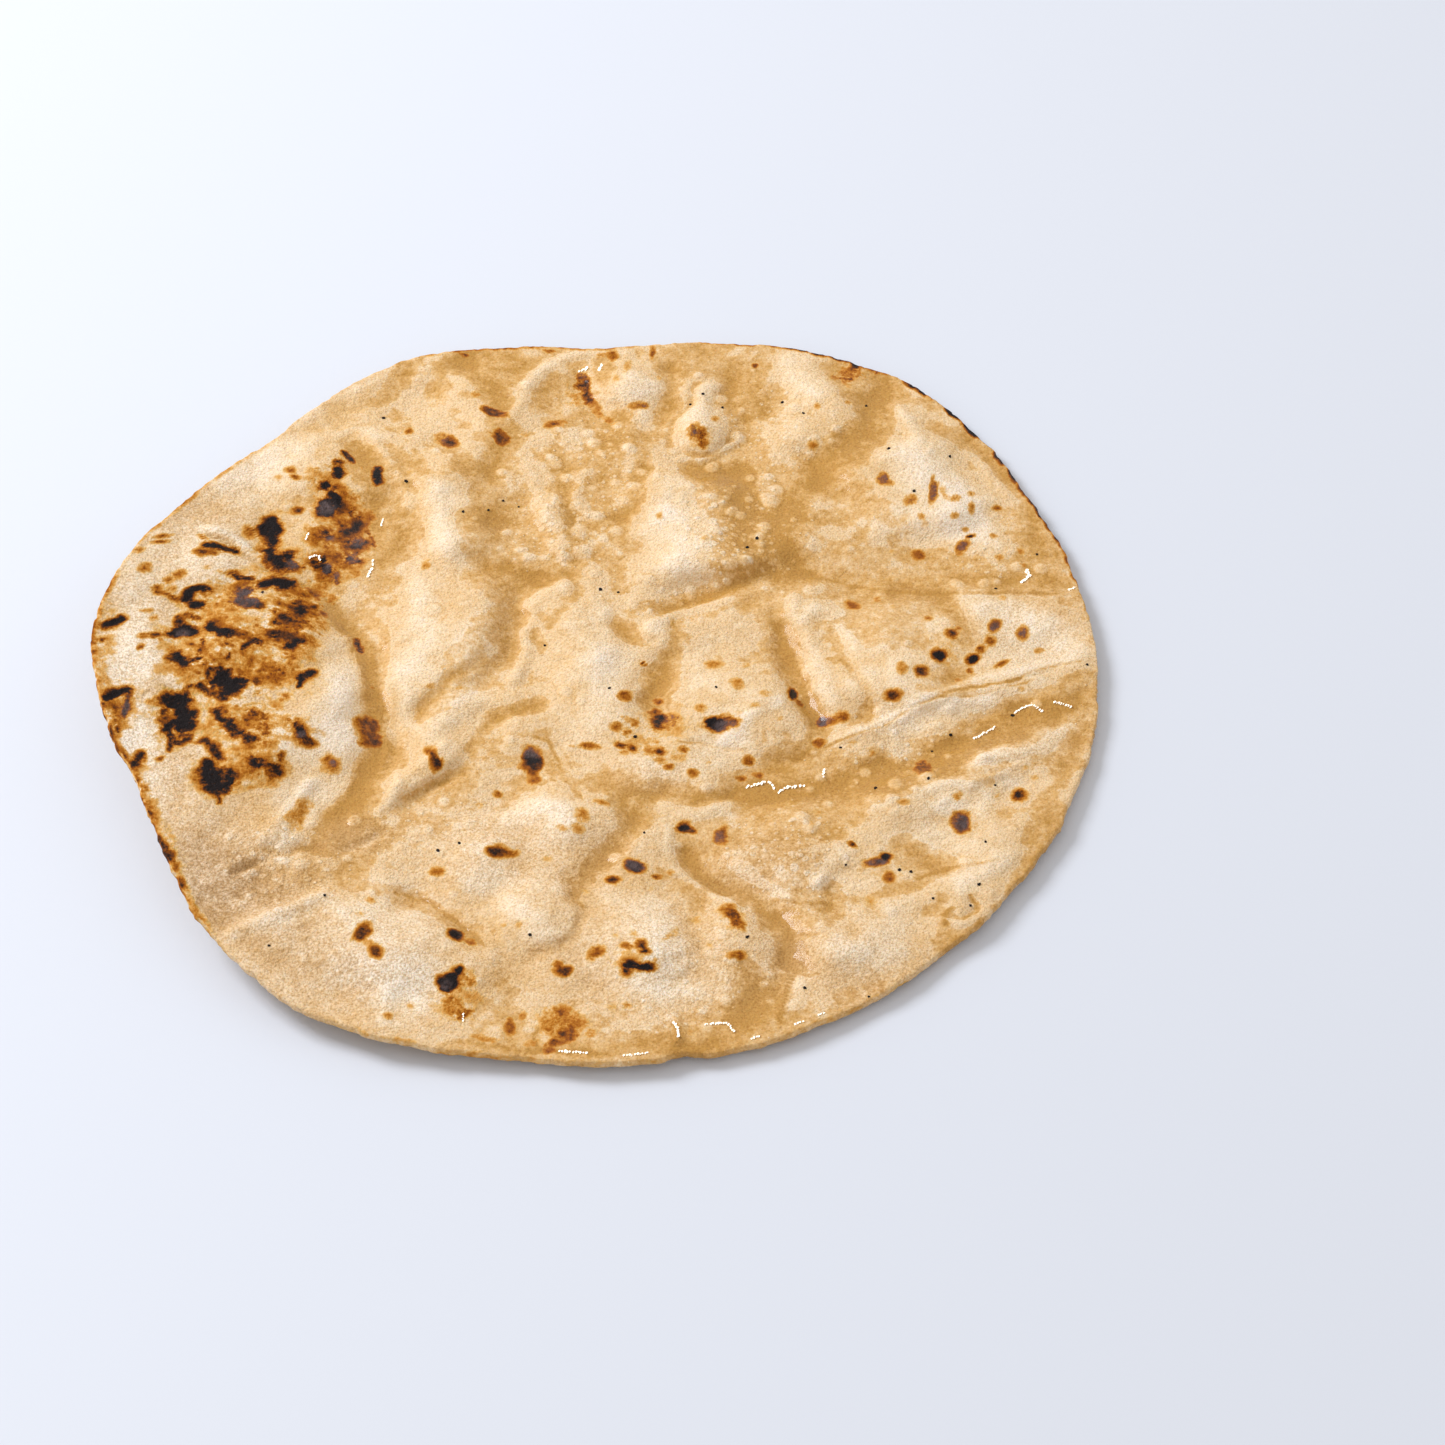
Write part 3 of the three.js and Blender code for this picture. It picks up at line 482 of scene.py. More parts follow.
# Char on the flap and behind it, drawn as round-ended strokes: path, half width.
CHARS = {
    PALE: ((((-58.8, -43.8), (-57.6, -41.6), (-56.6, -39.8)), 1.3),),
    AMBER: ((((-98, -12), (-96.6, -15), (-95.6, -21)), 0.5),),
    NUT: ((((-52.8, -27.2), (-52, -29)), 1.5),),
    BROWN: (
        (((-52.8, 43.8), (-52, 41.2), (-52.4, 38.4)), 1.1), (((-58.8, 37.8), (-57.4, 36.8)), 1.2),
        (((-49.4, 38.6), (-48.6, 36.2), (-47.4, 33.6)), 0.4), (((-52.4, 31), (-51.6, 29.4)), 1.4),
        (((-52.4, 35), (-50.4, 34.8)), 1.2), (((-55, 25.4), (-54.8, 23)), 0.6),
        (((-86, 17.4), (-88, 18), (-90, 19.4), (-91.8, 20)), 0.5), (((-85, 12.8), (-82.8, 12)), 0.6),
        (((-81.2, 6.4), (-81.4, 4), (-81.6, 2)), 0.4), (((-72.2, 4), (-71.8, 2.8)), 0.4),
        (((-75.2, 1.8), (-75.4, 0.4)), 0.4),
        (((-79.4, -3), (-78.6, -6), (-77.2, -9.4), (-75.6, -11.4)), 0.5),
        (((-83.6, -8.2), (-82, -6.9), (-80.4, -6.6)), 0.4), (((-87, -14), (-87.4, -17)), 0.6),
        (((-83.4, -21), (-80.6, -21)), 0.6), (((-72.4, -20), (-70.4, -21.4), (-68.6, -22.8)), 0.5),
        (((-69.4, -14.6), (-67, -15.8)), 0.9), (((-67.4, -18.2), (-66.2, -20.6)), 0.9),
        (((-66.2, -28.8), (-64.8, -29.4)), 0.6), (((-62.3, -25.6), (-62.6, -27.6)), 0.5),
    ),
    RUST: ((((-46.8, -16.8), (-45.6, -19.4), (-44.2, -22.2)), 1.8),),
    DARK: (
        (((-56, 63), (-54.8, 61.4), (-53.8, 60)), 0.5), (((-60.4, 29), (-59.6, 27.6)), 0.8),
        (((-66.4, 28.6), (-63.8, 28)), 1.4), (((-75.2, 16.4), (-74.6, 19), (-74.8, 21.2)), 0.5),
        (((-74, 19.4), (-73.4, 17.6), (-71.2, 17.2)), 1.7),
        (((-75.9, 25.6), (-75, 24.2), (-73, 23.6)), 0.7), (((-86.6, 11.8), (-86.1, 9.6)), 0.7),
        (((-83, 0.2), (-81.4, 0.8)), 0.6), (((-72.2, 4.2), (-70.8, 5.5), (-69.4, 4.6)), 0.7),
        (((-72.6, -8.4), (-71.2, -5.8)), 0.7), (((-85.6, -19), (-85.2, -21.5), (-84.8, -24.6)), 0.6),
        (((-83.4, -8.6), (-83.2, -10)), 0.5), (((-94.9, -10), (-94.9, -13), (-95, -15.5)), 0.5),
        (((-96, -18.4), (-95.8, -19.6)), 0.4), (((-90.4, -26), (-91, -28.8)), 0.85),
        (((-74.4, -30.4), (-73.2, -33)), 1), (((-72.8, -30.6), (-72, -32.6), (-72.8, -36)), 0.7),
        (((-74, -36.6), (-73.6, -38.8)), 0.4),
        (((-76.6, -14.4), (-75, -16.4), (-73.2, -18.6), (-72, -20.2)), 1),
        (((-78.4, -22.2), (-76.2, -24.6), (-74.4, -26.6)), 0.8), (((-80.6, -6.8), (-78.6, -9.4)), 0.7),
        (((-84.6, -21.4), (-83, -22.8), (-81.2, -22)), 0.6), (((-69.8, -21.8), (-68.2, -22.6)), 0.9),
        (((-67.8, -27.4), (-67.2, -28.2)), 1.2), (((-63.8, -29.4), (-63.4, -30.8)), 1),
        (((-60, -17.8), (-59, -20.2), (-57.2, -23)), 0.9),
        (((-49.4, 6.2), (-48.9, 4.4), (-48.2, 2.8)), 0.6),
    ),
    BLACK: (
        (((-70.4, 41), (-69.8, 38.4), (-69.2, 36)), 1.8),
        (((-69.4, 32.6), (-68.4, 29.6), (-66.8, 27.6)), 1.5), (((-67.6, 30.4), (-65, 30.3)), 0.8),
        (((-58.7, 47.2), (-58.4, 45)), 1.8), (((-57.8, 49.8), (-56.4, 48.2), (-56.2, 46.4)), 0.8),
        (((-56.7, 57.6), (-56.4, 56)), 0.8), (((-48.6, 57.4), (-48.4, 55.4), (-47.7, 54)), 0.9),
        (((-57.7, 29.8), (-57.2, 27.8), (-56.9, 25.8)), 0.75),
        (((-69.6, 22.4), (-68, 23.6), (-66.2, 22.9), (-65, 21.9)), 1.1),
        (((-82.1, 20.6), (-83.5, 21), (-84.8, 19.6), (-85, 17.4), (-83.8, 15.4), (-82.4, 16.2)), 0.95),
        (((-82.2, 34.2), (-79.4, 33.2), (-76.6, 32.1)), 0.65),
        (((-101.4, 10.7), (-99.8, 11.6), (-98.2, 12.5)), 0.85),
        (((-87, 8), (-85.4, 8.9), (-83.6, 8)), 0.95), (((-80, 10.3), (-77.4, 8.9), (-75.4, 8.5)), 0.95),
        (((-86.8, 2), (-86.2, 0.8), (-84.8, -0.6)), 1.1), (((-61.8, 15.6), (-61.3, 14.4)), 0.7),
        (((-76, -4), (-75.2, -6.4), (-74.4, -8.2)), 2.1), (((-75, -6), (-71.8, -5.6)), 0.9),
        (((-75.4, -5.4), (-77.8, -6)), 0.8),
        (((-86.4, -11), (-84.7, -11.6), (-83.3, -14.2), (-82.6, -16.6), (-82.5, -18.4)), 1.6),
        (((-84, -16.6), (-85.6, -18), (-86.5, -19.6)), 0.65),
        (((-99, -10), (-97.4, -9.4), (-95.4, -8.6)), 0.85),
        (((-76.8, -29.6), (-76, -32), (-74.6, -35)), 1.8), (((-59.4, -19), (-59, -20.4)), 0.5),
        (((-60, -4.6), (-59, -4.6), (-57.9, -3.6)), 0.8), (((-60, -5), (-60.2, -7.2)), 0.45),
    ),
}

# Spots on the flap and behind it: u, v, length, then a width and a turn in degrees for those that
# aren't round.
FLAP_SPOTS = {
    GOLD: (
        (-82, 27.6, 1.4, 1.2), (-79.6, 26, 1.4), (-64.2, -18, 1.6, 1), (-68.2, -35.4, 3.6, 1.4, 20),
        (-58.2, -45.6, 3, 2.6), (-61.8, 57.7, 2.4, 1), (-69.6, 54.5, 1.8, 1.6), (-53.4, 54.5, 1, 1.2),
    ),
    AMBER: (
        (-96.7, 32.8, 1.8, 1.3, 10), (-88.8, 21.2, 1.6), (-93.4, 14.7, 2, 1), (-91.6, 12.6, 1.6),
        (-71, -0.4, 1.4, 2), (-62.5, -10.2, 2, 1.6), (-68.6, -9.2, 1.2), (-65.4, -23.5, 2, 1.8),
        (-64, -32.6, 1.2, 2), (-57.2, -41.4, 2.4, 3.4, -20), (-45.5, -7.5, 1.8, 1.1, -20),
        (-89.2, -35.6, 1.6, 3, 20), (-89.6, -11.4, 1.8, 1.2), (-51.9, 58, 0.9, 2, 30),
        (-66, 43.8, 1.4, 0.9), (-52.7, 48.4, 2.4, 1.9), (-61.9, 39, 1, 2.6, 30), (-57.2, 33, 1.8, 2.6),
        (-49.8, 42.8, 3, 1, 20), (-71.4, 33, 1.8, 2.4), (-51, 25, 1.4, 1.6),
    ),
    BROWN: (
        (-92.1, 36.8, 2.8, 0.9, 8), (-92.7, 35.1, 3, 0.8, 5), (-95, 27.4, 1.8, 2),
        (-87.8, 25.5, 2.2, 1.7, 30), (-89.8, 23.5, 1.4), (-92, 21.2, 1.8, 1.6), (-81, 31.6, 1.6, 1.2),
        (-83.8, 36.4, 2.2, 0.8, -40), (-74.4, 38, 2, 2.8, 20), (-66.9, 14.5, 1.2, 1.6),
        (-76.5, 4.9, 1.6, 1.4), (-93.4, 7.4, 1.6, 1.1), (-93.7, 4.2, 0.9, 1.6, -20),
        (-77.2, 25.4, 1.2, 1.4), (-101.6, 6.2, 1, 1.2), (-80, -0.8, 1.6, 1.2), (-78.8, -2.2, 2, 1.6),
        (-65.2, -5.5, 1.4, 1.8, 20), (-65.6, -2.4, 2.6, 1.4, -20), (-82, -53, 1.4, 1.8),
        (-80.6, -56, 1.2, 2.4), (-86.4, -27.2, 1.6, 0.9, 20), (-67, 57.2, 1.8, 1.6),
        (-65.7, 54.9, 1.6, 1.2), (-57.1, 51.8, 1.7, 1.5), (-64.8, 31.9, 2.4, 1.4),
    ),
    DARK: (
        (-83.2, 32.2, 2.6, 1.7, 10), (-64.8, 12.9, 1.4), (-66.8, 11.2, 1.4, 1.6), (-66.9, 7.4, 1.8),
        (-60.6, 5.5, 1), (-90.9, 7.7, 2, 1.1), (-68.8, -6.2, 1.8, 1.2, -30), (-87.6, -41.4, 1, 2.6, 20),
        (-84.6, -49, 1.2, 2.4), (-79, -60.4, 0.9), (-56.9, 59.7, 1.6), (-64.7, 44.7, 1.8, 1.7, 20),
    ),
    BLACK: ((-63.1, 4.5, 2.4, 2), (-81.1, -14.8, 1.6, 1.8), (-59.1, 52.6, 2.1)),
}

# Spots on the rest of the top face, in the same way.
OPEN_SPOTS = {
    GOLD: (
        (-17.3, 68, 2.2, 1.8), (-41.8, 56.5, 2.4, 1.8), (-6.7, 73.7, 1.8, 1.4), (4.4, 90.4, 1.4, 4, -10),
        (2, 86.4, 1.6, 2.6), (-33.5, -7, 2.2, 1.2, 20), (-22.5, -40, 1.4), (-4.5, -24, 1.6, 1),
        (-6, -46, 1.8, 1.6), (-8.6, -54, 2, 1.8), (11.5, 87.5, 1.4, 2), (52, 62, 2),
        (72.4, 49.6, 1.2, 3.4, 20), (60.7, 32, 1.6), (60.5, 15.8, 1.4, 1.2), (83.2, 17.8, 2, 1.6),
        (85.6, -8.6, 1.4, 1.6), (12, 42.5, 1.2, 2.2), (21.8, 36, 1.5), (30.2, -1.2, 1.6, 1.8),
        (33.8, -9.2, 2.6, 2.4), (32, -12.4, 2, 1.4), (36.8, -16.2, 1.6), (5.6, -16.2, 1.1, 1),
        (16.6, -26.6, 2.4, 3), (22.6, -28.4, 1.3, 1.1), (5, -38.6, 1.4), (42.6, -44.8, 1, 2.2),
        (44, -42, 3, 2.4), (53.6, -64.8, 2.2, 3), (87, -32.5, 1.5, 1.2), (79.4, -37.2, 1.2, 1.4),
        (85.4, -29.6, 1.4), (51.4, -23, 2, 1), (-1.2, -62, 1.8, 1.6), (11.4, -61.6, 1, 1.4),
        (19.8, -69.4, 3.2, 2), (15.2, -73.2, 4, 1.6, 45), (22.8, -75.8, 1.2), (4.8, -73.2, 1.4, 1.2),
        (8.4, -73, 1.2, 1.6), (-13.6, -70.8, 1.2, 1.6), (-16.6, -70.8, 1.2), (-44, -68, 1.6, 1),
        (-33.4, -91, 1.6, 1.8), (4.8, -91.2, 1.8, 2.4), (19.6, -97.4, 2.4, 3.4), (15.4, -101, 2, 3),
    ),
    PALE: ((-5, -95.6, 8.6, 7.6),),
    AMBER: (
        (-28.5, 81.2, 1.8), (-35.4, 67.6, 3, 3.4), (-8.8, 72.4, 1.8, 1.2), (-2, 76.2, 2.2, 6.4, 30),
        (0.8, 72.8, 3.2, 2, -45), (-1.4, 94, 1.6, 1.4), (-36.5, 28, 1.6, 3, -25), (-28, -7.5, 1),
        (-2, -42.6, 2.6, 3.4, 20), (-2.8, -46, 2.4), (53, 88, 6, 5.4), (7, 77.3, 4.2, 2.4, 5),
        (23.8, 73.5, 1.4), (45.9, 77.7, 1.4), (45, 65, 2, 3), (52.5, 79.3, 1.3), (19.4, 68.6, 3.4, 3.8),
        (61.2, 53, 1.4), (74.7, 48.2, 2, 1.5), (78, 45, 1.2, 3), (78.2, 49.8, 1.3), (67.3, 43, 1.5),
        (74.4, 43, 1.5), (76.5, 38.7, 1.3), (82.2, 36.7, 1.3), (87.7, 32.5, 1.8, 2.4), (83, 30.5, 1.6),
        (88.2, 28, 1.4), (62.5, 20, 1.2), (57.2, 17.8, 1.8, 1.4), (67.8, 12.4, 1.5),
        (73.8, 9.6, 2.2, 1.8), (90, 3.5, 2, 1.4), (61.6, -2.2, 2.2, 2.8), (73.2, -5, 1.6, 2),
        (23.8, -1, 3.6, 2.2), (28.4, -6.6, 3.4, 2.6, -45), (21.2, -13.2, 2, 2.2), (15, -17, 3, 5),
        (7.6, -17.6, 1.7, 2), (6.3, -19.9, 1.6), (5.6, -25.6, 1.5, 1.1, 40), (10.6, -25, 2.4, 2),
        (13, -27.6, 2.6, 2, -30), (0.2, -23.8, 1.8, 1.4), (1.6, -38.9, 3.6, 1.3, -12),
        (55.2, -26.6, 1.3, 2), (61, -38.9, 2.4, 1.5), (71.8, -37.4, 1.5, 2.2, -20), (15.2, -57.4, 1.2),
        (25.6, -67.2, 1.6, 2.2, 30), (-42.4, -64.6, 1.8, 1.2), (-42, -75.4, 1.6),
        (-22.4, -84.4, 2.6, 4.6), (-25.4, -91, 3.6, 4.2, 10), (-37.2, -93.4, 1.4, 1.6),
        (-12.2, -93.4, 1.4, 2, -20), (-18.6, -98.8, 5, 1.6, -8), (-1.8, -94.8, 2.6, 3.6, -30),
        (0.8, -97.4, 1.8, 2.6), (-10.4, -100, 2.6, 2), (7.6, -90.8, 1.3, 1.6),
    ),
    TAN: ((65, 47.8, 2.4, 3.2, -20),),
    NUT: ((21.2, 67, 2, 5, 8),),
    BROWN: (
        (-42.3, 69.7, 1.6, 2, -30), (-11.2, 71.6, 3.8, 2.2), (1, 94, 2.6, 3), (-13, 96, 2.4, 1),
        (-33, -25, 1.8, 2), (-12, -33, 3.2, 2.4), (-19, -37, 1.6), (-15.8, -52.6, 2.6, 1.8),
        (53, 86.5, 1.6, 1.4), (10, 95.5, 1, 3.4), (8, 77, 2, 1.4), (59.5, 54.5, 2.4, 3),
        (70.2, 50.6, 1.6, 7, -8), (83.3, 45.3, 1.6, 1.2), (75.5, 33.5, 2, 4.8, -25), (66.6, 31, 2.8, 2.6),
        (52, 16.4, 2.6, 2, -20), (80, 6, 1.8, 2.4), (78, 3.8, 1.6, 2), (86.8, 8, 1.8, 2.8, 10),
        (75.6, -2.4, 1.2, 1.6), (82.4, -0.3, 3, 1.2, 40), (27, -17.4, 3.4, 3), (41, -11.4, 1.4, 2, 30),
        (49.6, -15.6, 2.6, 3), (47.4, -16.8, 2.6, 1.6), (44.6, -23, 2.6, 2.2), (5.8, -10, 2.2, 3),
        (12, -11.4, 2.2, 2), (11.6, -14.6, 2.6, 1.8), (3.8, -18.6, 1.9, 2), (7.2, -24.4, 1.5, 2.2, 20),
        (14.8, -29.8, 1.7, 1.5), (17.6, -24.6, 1.4), (19.6, -31.2, 2, 1.9), (30.6, -27.8, 1.8, 2.2, 30),
        (28.9, -32.7, 2, 1.8), (32.5, -31.6, 2.2, 1.4, 10), (-1.2, -23.6, 2.8, 1.5),
        (19.3, -46.6, 1.8, 1.6), (25.2, -48, 2.2, 4.4, -25), (57.7, -58.8, 2, 2.8),
        (64.8, -29.8, 3.6, 3.8, -20), (12.7, -58.2, 1.8, 1.2, 15), (27.4, -69.2, 3.2, 6.4, 25),
        (28.2, -78.4, 2.8, 2.4), (1.3, -77.6, 2.4, 3.2, -35), (6.9, -76, 2, 1.2), (-6, -80.4, 1.4),
        (-30.2, -57.4, 2.8, 2.4, 20), (-22.4, -75, 2.2, 1.4, -30), (-23.4, -92.8, 3, 1.8, 30),
        (-14.4, -96, 1.9, 4, 10), (-5, -92, 2.8, 2.6, -20), (-3.6, -97.6, 4, 3.6, 20),
        (-6, -99.6, 3, 1.6, 20), (-7, -101.4, 2, 1.8),
    ),
    RUST: ((-4, 80.4, 3, 5, 15),),
    RUSSET: ((-24, 75.8, 5.8, 3.2, -18), (-22.5, 68, 3, 5.8, 25)),
    CHESTNUT: ((-4.8, 84.8, 3.4, 7, 5),),
    UMBER: ((-33.4, 66.2, 3, 3.4),),
    DARK: (
        (-31.3, 94.5, 1.6, 1.2), (-31.8, -27.6, 2.2, 6, 5), (-12.6, -28.2, 5, 7), (-18.4, -52, 4, 2.6),
        (54.5, 90.4, 2.2, 1.4), (32.5, 91, 1.3, 1.4), (72.4, 7.9, 2.6, 2.4), (81.2, 10.2, 2.6, 3),
        (65.8, -2.6, 2.6, 2.4), (59.8, -9, 3, 2.8), (9.2, -0.9, 1.6, 0.7, -55),
        (45.2, -16.8, 2.4, 3.6, 20), (12.4, -17, 2.8, 5, 5), (4.9, -23.4, 1.8, 1.6),
        (12.8, -25.2, 2.2, 1.6), (55.2, -54.8, 5, 2.6, 12), (83.9, -37.4, 2.4, 3.2, 10),
        (71.9, -44.4, 3.6, 4.8, 8), (4.2, -59.4, 2.6, 1.8, 10), (9.8, -75.6, 2, 2.2),
        (10.5, -77.6, 1.8, 1.4), (6.9, -82.6, 1.8, 2), (-4.8, -81.9, 3.2, 2.8),
        (-43.6, -72.6, 2.6, 4.6, -25), (-40.6, -77.4, 2.8, 3),
    ),
    BLACK: (
        (-12.8, -27.4, 3, 4), (77.4, 36.6, 2, 0.8, 15), (69.3, 1.7, 3, 3.4), (76.4, 0.9, 2.6, 2.4),
        (24.6, -18, 4.4, 4, -35), (23.2, -16.8, 2.6, 2), (39.6, -9, 1.8, 3.4, 20), (17.8, -45.6, 2.6, 3),
        (50.6, -50.2, 1.1, 2, 30), (57, -53.6, 2.4, 2.2), (8.4, -55.6, 4.4, 3.6), (7.6, -80.4, 3, 2.4),
        (10.6, -81.2, 4, 2.4, -5), (-25.2, -73.2, 3.8, 2.9, -40), (-26.2, -84.8, 4.2, 4.6),
        (-24.6, -82.2, 2.4, 2.6), (-26.6, -87, 2.4, 2.2),
    ),
}

# Crusted char stands up a little: heat where that begins and where it is full, its crumb as patch
# size, seed and height, and how far it sinks.
CRUSTED = (0.6, 0.95)
CHAR_CRUMB = ((1.6, 4, 0.16), (0.9, 5, 0.14))
CHAR_SINK = 0.06

# Crumbs of char on the surface: u, v.
SPECKS = (
    (-24.2, 45.3), (-21.2, 47.8), (-17.8, 45.8), (-29.6, 44.6), (-42, 53.5), (-48.1, 73.8), (-11, 4.5),
    (0, 20.6), (3.7, 20), (-26, -49.8), (-30, -52), (32.5, 36), (30.5, 33.7), (18.3, 78.7), (25.3, 77.3),
    (21, 80.7), (38.3, 78.7), (42.8, 75.2), (56.5, 78.4), (74, 61.3), (61, 63.7), (82, 21), (66, 50.5),
    (91, 31.3), (7.8, -21.4), (10, -47.2), (66, -32.9), (55.6, -35.2), (79.2, -34.4), (76.6, -49.5),
    (61.8, -57.4), (59.6, -56.8), (65.8, -64.3), (72.9, -65.8), (74.8, -60.7), (70.9, -21.1), (67, -25),
    (83.6, -15.5), (48.8, -24.5), (-51.2, -63.9), (-61, -75.8), (-11.4, -73.4), (52.8, -88.6),
    (40.8, -86.6), (99.4, -1.4), (2.4, -7.8), (24, -7.6), (30, -73.8), (-70, 20), (49.2, -55.8),
)
SPECK_RADIUS = 0.34

# Broad mottled scorch: u, v, half length, half width, amount, and a turn for those that have one.
HAZES = (
    (-62.4, 12, 7.5, 11.5, 1, 8), (-64.5, 8, 7, 7, 0.95), (-60, 18, 6, 6, 0.9), (-75.5, 20, 7, 7, 0.65),
    (-84, 18, 6, 5, 0.28), (-83, 7, 12, 6, 0.4), (-77, -2, 11, 8, 0.65), (-85, -16, 5.5, 9, 0.62),
    (-69, -18, 9, 9, 0.62), (-66, -30, 7, 6, 0.7), (-74, -4, 20, 30, 0.42), (-80, 13, 5, 4, 0.25),
    (-76, -33, 5, 6, 0.6), (-59, -20, 5, 4, 0.5), (-64, -2, 6, 7, 0.6), (-96, -13, 4, 9, 0.7),
    (-91, -28, 3, 4, 0.5), (-53.5, 40, 8, 11, 1, 10), (-58, 48, 5, 7, 0.85), (-60, 54, 5, 6, 0.6),
    (-57, 28, 8, 7, 0.85), (-60, 37, 4, 4, 0.7), (-52, 32, 5, 6, 0.8), (-68, 30, 6, 6, 0.7),
    (-69, 40, 3, 6, 0.5), (-80, 33, 6, 3, 0.5, -10), (-48.2, 56, 2, 3, 0.5), (-56, 59, 3, 4, 0.5),
    (-72, -33, 3, 5, 0.6), (-88, -37, 2, 7, 0.5, 20), (-84, -46, 2.2, 17, 0.3, 28), (-101, 2, 3, 26, 0.4),
    (-54.6, 17, 2, 6, 0.3, 30), (-5, -96, 9, 6, 0.3), (-24, -90, 6, 8, 0.45, 10), (54, 88, 6, 5, 0.7),
    (-74, 8, 6, 5, 0.6), (11, -20, 9, 8, 0.45), (25, -17, 6, 5, 0.45), (72, 2, 7, 6, 0.3),
    (-6, 84, 5, 9, 0.5), (20, 68, 4, 5, 0.5), (8.5, -80, 7, 5, 0.4), (66, -30, 4, 4, 0.4),
    (27, -70, 4, 5, 0.35, 20), (-82, 15, 3.5, 3.5, 0.35), (-78, 0, 5, 4, 0.15),
    (-62, -18, 3.5, 3.5, 0.35),
)

# Scorched stretches of the rim: direction, half spread in degrees, heat, reach inwards.
RIM_SCORCH = (
    (43, 15, 1.3, 1.3), (62, 14, 0.85, 1), (24, 13, 0.85, 0.9), (100, 16, 0.5, 1.2), (186, 28, 0.5, 1.4),
    (212, 12, 0.6, 1.8), (150, 14, 0.3, 1.6), (262, 20, 0.2, 1), (300, 16, 0.15, 1),
)
RIM_MEAN, RIM_MOST = 0.72, 1.5  # how much of that heat there is in the middle, and at most
RIM_MOTTLES = ((3, 27, 0.75), (1.3, 28, 0.65))

# Ashy violet bloom on char, partly grey ash and partly painted sheen: u, v, half length, half width.
ASH_AND_SHEEN = (
    (15.8, -17, 1.6, 3), (26, -18.8, 2.6, 2.2), (-26.8, -85.8, 1, 1.4), (8.4, -55.4, 2.6, 1.8),
    (71.9, -44.4, 2, 2.6), (-73, 18.6, 3.6, 3.4), (-58.6, 45.6, 2, 2.4), (-51.8, 30, 1.3, 1.8),
    (-51.2, 34.8, 1.5, 1.4), (-64.3, 28.4, 1.4, 1.4), (-54.8, 24.2, 1, 2.2), (-57, 35.8, 1, 1),
    (-57, 27, 0.9, 2), (-94.9, -13, 1.2, 3), (-59, -20.4, 1, 1), (45.2, -16.4, 1.6, 2.2),
    (81.2, 9.4, 1.4, 2.2), (55, -55, 2.6, 1.2), (-52, -28.6, 1, 1.2), (-2.6, -45.6, 1.6, 1.4),
    (-12.6, -25.4, 2.4, 1.6), (24.4, -48.6, 1.2, 2.2), (-5, 88.8, 2.2, 2), (7.6, 77.2, 2, 1.2),
    (19.2, -97.6, 1.6, 3), (15.2, -101, 1.6, 2), (-85.4, 8, 1.6, 1), (59.4, 54.6, 2, 2.2),
    (70.2, 50, 1.2, 3.6), (75.6, 33.8, 1.4, 2.8), (64.8, 47.8, 1.6, 2), (-35.6, 67.8, 2, 2),
    (86.8, 8, 1.2, 1.8), (18.6, 69, 1.6, 1.8),
)
ASH_AND_SHEEN_FADE = (0.5, 1.3)  # from full to none, as shares of the half sizes

# Scorch marks on the underside: how many, and the smallest and largest size and heat.
UNDER_SPOTS = 150
UNDER_SPOT_SIZES = (1.4, 6.9)
UNDER_SPOT_HEATS = (0.35, 1.15)
UNDER_SPOT_SHAPE = 1.2  # a mark's width for its length
UNDER_SPOT_TURN = 90  # degrees, of the largest one

# How the underside varies: a middle value, and patch size, seed and depth of noise round it.
UNDER_CROWD = (0.45, (30, 43, 0.55))
UNDER_LEAST_CROWD = 0.05
UNDER_FLOUR = (0.65, (20, 45, 0.3))
UNDER_TONE = (0.4, (14, 46, 0.2))
UNDER_HAZE = (0, (16, 47, 1))
UNDER_MOST_HAZE = 0.3
UNDER_WET, UNDER_BLISTERED = -0.5, 0.3

# ---- Oil and flour ---------------------------------------------------------------------------

# Wet patches (+) and dry patches (-): u, v, half length, half width, amount, and a turn for those
# that have one. Wet patches on slopes turned from the key light are partly painted light, warming
# colour that lies grey in their shade.
WETNESS = (
    (-28, -9, 13, 4.5, 0.3, 50), (66, 21.5, 16, 5.5, 0.4), (30, 38, 16, 24, 0.2, 15),
    (-23, 36, 8, 22, 0.2, 5), (32, -90, 8, 11, 0.2), (-49, 35, 10, 13, 0.35),
    (-45.4, -12, 3, 20, 0.2, -6), (-53, -12, 4, 22, -0.4, -6), (-39, -12, 2.4, 20, -0.3, -6),
    (56, -34, 44, 7, 0.3, 22), (86, -15, 14, 7, 0.3, 20), (42, -64, 8, 13, 0.2, 25),
    (22, -99, 13, 5, 0.5), (2, -101, 16, 4, 0.4), (64, -53, 9, 5, 0.3, -35), (-36, -64, 14, 4, 0.2, -25),
    (-82, -10, 26, 52, -0.9, -6), (-72, -60, 22, 18, -0.8), (-84, 55, 14, 22, -0.35, 35),
    (-48, -80, 28, 16, -0.5, -15), (-66, 70, 20, 14, -0.3, 45), (-8, -60, 26, 14, -0.2),
    (10, -78, 26, 14, -0.3), (87, 10, 11, 9, -0.6), (59, 10, 14, 9, 0.3), (52, -78, 16, 12, -0.2),
    (-20, -80, 14, 10, -0.2), (70, -8, 10, 8, 0.35, 15), (-27, 4, 5, 14, 0.35, -20),
    (-28, 38, 5, 11, 0.2), (24, 55, 8, 10, 0.2), (66, 42, 16, 8, 0.25), (52, 30, 10, 4, 0.25),
    (76, -32, 7, 5, 0.2, 20),
)
WET_MIDDLE = 0.4  # wetness of a flat place
WET_FALL = 0.08  # and how much drier for each mm of height above it
WET_TONE = 0.45  # and how much wetter where the tone is golden
TONE_MIDDLE, TONE_FALL, TONE_SHARE = 0.47, 0.07, 0.5  # the crust's own tone in the same way
RELIEF_MIDDLE = 0.9  # height of a flat place

